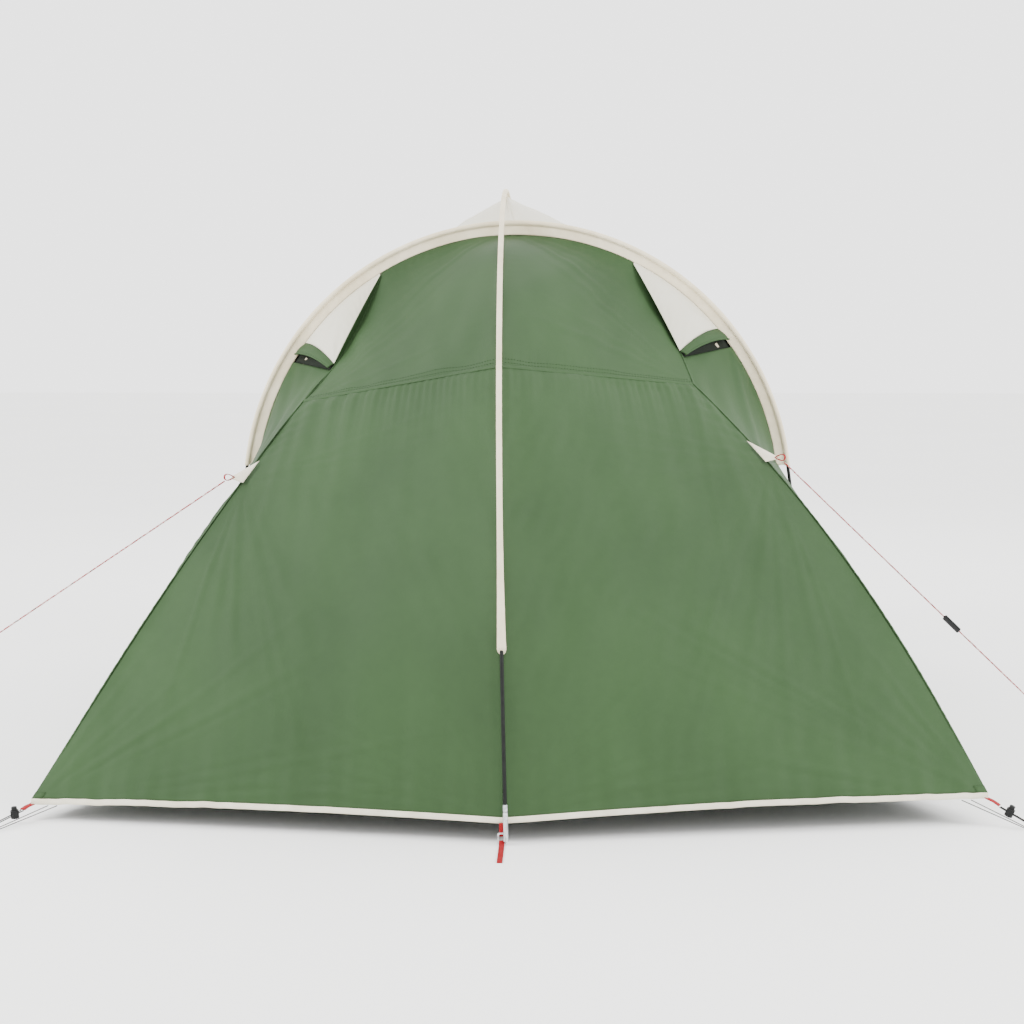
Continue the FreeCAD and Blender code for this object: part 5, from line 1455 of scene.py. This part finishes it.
for label, corners in (
        ("left", [(-0.99, WALL_LOW), (-DOOR_HALF, WALL_LOW), (-DOOR_HALF * 0.86, DOOR_TOP),
                  (-0.99, DOOR_TOP)]),
        ("right", [(DOOR_HALF, WALL_LOW), (0.99, WALL_LOW), (0.99, DOOR_TOP), (DOOR_HALF * 0.86, DOOR_TOP)]),
        ("top", [(-0.99, DOOR_TOP), (0.99, DOOR_TOP), (0.99, WALL_HIGH), (-0.99, WALL_HIGH)])):
    placed = []
    for x, z in corners:
        edge_point = inner_at(x, 1, z)
        placed.append(edge_point if abs(x) > 0.5 else np.array((x, edge_point[1], z)))
    wall = quad_grid(placed, 50, 50)
    cloth_panel(f"inner_front_{label}", wall, inner_relief(wall, 0.003), inner_cloth, "tent", "inner_cloth",
                ["inner_front_wall"] if label == "left" else [], thickness=0.0006)

# %% [markdown]
# The groundsheet is one sheet whose edge turns up into the tray's low walls.

# %% Groundsheet
half_x, half_y = 0.6485, 0.9985
uu, vv = np.meshgrid(np.linspace(-1, 1, 110), np.linspace(-1, 1, 140), indexing="ij")
edge_reach = 0.93
flat_x = np.clip(uu / edge_reach, -1, 1) * half_x
flat_y = np.clip(vv / edge_reach, -1, 1) * half_y
rise = np.maximum(np.clip((np.abs(uu) - edge_reach) / (1 - edge_reach), 0, 1),
                  np.clip((np.abs(vv) - edge_reach) / (1 - edge_reach), 0, 1))
tray = np.stack([flat_x, flat_y, 0.0020 + 0.0970 * rise], axis=-1)
long_way, short_way = flat_x * 19 + 2 * np.sin(flat_y * 7), flat_y * 13 + np.sin(flat_x * 9)
wrinkle = 0.0011 * (1 + np.sin(long_way) * np.sin(short_way))
tray[..., 2] += np.where(rise > 0, 0, wrinkle)
tray_piece = grid_mesh("groundsheet_cloth", tray, 1, *lengths(tray))
thicken(tray_piece, 0.0012)
finish_piece(tray_piece, floor_cloth, "tent", "floor_cloth", "groundsheet")
print("groundsheet", tray.shape[:2])

# %% [markdown]
# The small fittings are moulded or stamped. A guy slider is a flat bar with a waist and a hole
# at each end; a cord lock is a barrel with grip ribs and a sprung button; the zip's slider is a
# wedge-shaped shell with its pull hanging from a bridge. Each is built up from a block or a
# barrel: faces are picked by their place, inset and pushed in or out, and the edges rounded.

# %% Fittings helpers
def deselect():
    bpy.ops.object.select_all(action="DESELECT")


def start_block(name, size, sides=0):
    """A block, or a barrel of so many sides, in its own place at the origin."""
    deselect()
    if sides:
        bpy.ops.mesh.primitive_cylinder_add(vertices=sides, radius=0.5, depth=1.0)
    else:
        bpy.ops.mesh.primitive_cube_add(size=1.0)
    piece = bpy.context.object
    piece.name = name
    piece.scale = size
    bpy.ops.object.transform_apply(location=False, rotation=False, scale=True)
    return piece


def pick_faces(piece, axis, sign):
    """Select the faces whose normal points one way, in edit mode."""
    bpy.context.view_layer.objects.active = piece
    bpy.ops.object.mode_set(mode="OBJECT")
    for face in piece.data.polygons:
        face.select = face.normal[axis] * sign > 0.9
    bpy.ops.object.mode_set(mode="EDIT")
    bpy.ops.mesh.select_mode(type="FACE")


def inset_and_push(piece, axis, sign, inset, push):
    pick_faces(piece, axis, sign)
    bpy.ops.mesh.inset(thickness=inset)
    move = tuple(push if k == axis else 0 for k in range(3))
    bpy.ops.mesh.extrude_region_move(TRANSFORM_OT_translate={"value": move})
    bpy.ops.object.mode_set(mode="OBJECT")


def round_edges(piece, width, segments=3):
    bevel = piece.modifiers.new("edges", "BEVEL")
    bevel.width, bevel.segments = width, segments
    bevel.limit_method, bevel.angle_limit = "ANGLE", math.radians(30)
    deselect()
    piece.select_set(True)
    bpy.context.view_layer.objects.active = piece
    bpy.ops.object.shade_smooth_by_angle(angle=math.radians(40))


def set_down(piece, at, x_axis, z_axis):
    """Bake a place and a direction into the mesh, so that the object stays at the origin."""
    z_axis = unit(np.array(z_axis, float))
    x_axis = unit(np.array(x_axis, float) - z_axis * np.dot(x_axis, z_axis))
    y_axis = np.cross(z_axis, x_axis)
    points = np.array([v.co[:] for v in piece.data.vertices])
    moved = np.array(at) + points @ np.stack([x_axis, y_axis, z_axis])
    piece.data.vertices.foreach_set("co", moved.astype(np.float32).ravel())
    piece.data.update()


print("fitting helpers ready")

# %% [markdown]
# The places and directions of the fittings repeat those of the CAD solids they stand for.

# %% Guy sliders and cord locks
GUY_SLIDERS = {"left": ((-1.28954, -1.05030, 0.27170), (-0.8099, -0.2068, -0.5489)),
               "right": ((0.97820, -1.01410, 0.39200), (0.6970, -0.2387, -0.6762))}
LOCKS = {"left": ((-1.04653, -1.32514, 0.02099), (-0.8786, 0.4775, 0.0), (-0.07360, -0.13542, 0.98805)),
         "right": ((1.05644, -1.30277, 0.03037), (-0.4815, -0.8764, 0.0), (0.36460, -0.20033, 0.90936))}
for side, (at, along) in GUY_SLIDERS.items():
    bar = start_block(f"guy_slider_{side}_bar", (0.011, 0.007, 0.044))
    for sign in (-1, 1):
        inset_and_push(bar, 1, sign, 0.0022, -sign * 0.0012)
        inset_and_push(bar, 2, sign, 0.0012, sign * 0.0010)
    round_edges(bar, 0.0009)
    set_down(bar, at, (1, 0, 0), along)
    finish_piece(bar, moulded_black, f"guy_slider_{side}", "black_plastic", f"guy_slider_{side}")
for side, (at, across, lift) in LOCKS.items():
    barrel = start_block(f"cord_lock_{side}_barrel", (0.018, 0.018, 0.017), sides=24)
    inset_and_push(barrel, 2, 1, 0.0022, -0.0030)
    inset_and_push(barrel, 2, -1, 0.0016, 0.0010)
    bpy.context.view_layer.objects.active = barrel
    bpy.ops.object.mode_set(mode="OBJECT")
    for face in barrel.data.polygons:
        face.select = abs(face.normal.z) < 0.1 and face.index % 2 == 0 and face.area > 3e-5
    bpy.ops.object.mode_set(mode="EDIT")
    bpy.ops.mesh.select_mode(type="FACE")
    bpy.ops.mesh.inset(thickness=0.0004, use_individual=True, depth=-0.0005)
    bpy.ops.object.mode_set(mode="OBJECT")
    round_edges(barrel, 0.0005, 2)
    set_down(barrel, at, across, lift)
    finish_piece(barrel, moulded_black, f"cord_lock_{side}", "black_plastic", f"cord_lock_{side}")
    button = start_block(f"lock_button_{side}_cap", (0.0124, 0.0124, 0.011), sides=24)
    inset_and_push(button, 2, 1, 0.0018, 0.0008)
    inset_and_push(button, 2, 1, 0.0012, -0.0005)
    round_edges(button, 0.0007)
    lift = unit(np.array(lift))
    set_down(button, np.array(at) + lift * (0.0049 + 0.0055), across, lift)
    finish_piece(button, moulded_black, f"lock_button_{side}", "black_plastic", f"lock_button_{side}")
print("sliders and locks done")

# %% [markdown]
# A vent prop lies along the longest way of its CAD solid. The zip's slider and pull stand in
# the middle of theirs, and the slider is turned along the zip.

# %% Vent props and the zip's slider
for side in SIDES:
    points = np.array([v.co[:] for v in frame["nodes"][f"vent_prop_{side}"].data.vertices])
    centre = points.mean(0)
    _, _, axes = np.linalg.svd(points - centre)
    strip = start_block(f"vent_prop_{side}_strip", (0.0090, 0.0022, 0.0335))
    for sign in (-1, 1):
        inset_and_push(strip, 1, sign, 0.0010, sign * 0.0004)
    round_edges(strip, 0.0010)
    set_down(strip, centre, axes[1], axes[0])
    finish_piece(strip, prop_tape, f"vent_prop_{side}", "prop_strip", f"vent_prop_{side}")

ZIP_SLIDER_Y, ZIP_SLIDER_Z = 1.48522, 0.07482


def box_middle(node):
    low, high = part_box(node)
    return (np.array(low) + np.array(high)) / 2


angle = math.atan2(ZIP_SLIDER_Z - ZIP_C[1], ZIP_SLIDER_Y - ZIP_C[0])
shell = start_block("zip_slider_shell", (0.0090, 0.0040, 0.0140))
inset_and_push(shell, 1, 1, 0.0018, 0.0007)
inset_and_push(shell, 2, -1, 0.0014, 0.0006)
round_edges(shell, 0.0007)
set_down(shell, box_middle("zip_slider"), (1, 0, 0), (0, -math.sin(angle), math.cos(angle)))
finish_piece(shell, zip_enamel, "zip_slider", "zip_metal", "zip_slider")
pull = start_block("zip_pull_tab", (0.0050, 0.0014, 0.0280))
for sign in (-1, 1):
    inset_and_push(pull, 1, sign, 0.0009, -sign * 0.0003)
round_edges(pull, 0.0006)
set_down(pull, box_middle("zip_pull"), (1, 0, 0), (0, 0, 1))
finish_piece(pull, zip_enamel, "zip_pull", "zip_metal", "zip_pull")
print("fittings done")

# %% [markdown]
# Poles, tips, ferrules, rings and pegs are shown as they were designed. Each gets a finish of
# its own on its slots.

# %% Finishes of the CAD pieces
KEPT = {"spine_pole": fibreglass, "rear_hoop_pole": fibreglass, "front_hoop_pole": fibreglass,
        "pole_tips": plated_steel, "pole_ferrules": plated_steel, "foot_rings": plated_steel,
        "ground_pegs": plated_steel}
for node, material in KEPT.items():
    solid = frame["nodes"][node]
    if not solid.material_slots:
        solid.data.materials.append(material)
    for place in solid.material_slots:
        place.material = material
still_plain = [name for name, piece in frame["nodes"].items() if name not in KEPT and not piece.hide_render]
print("CAD nodes without a look:", still_plain)
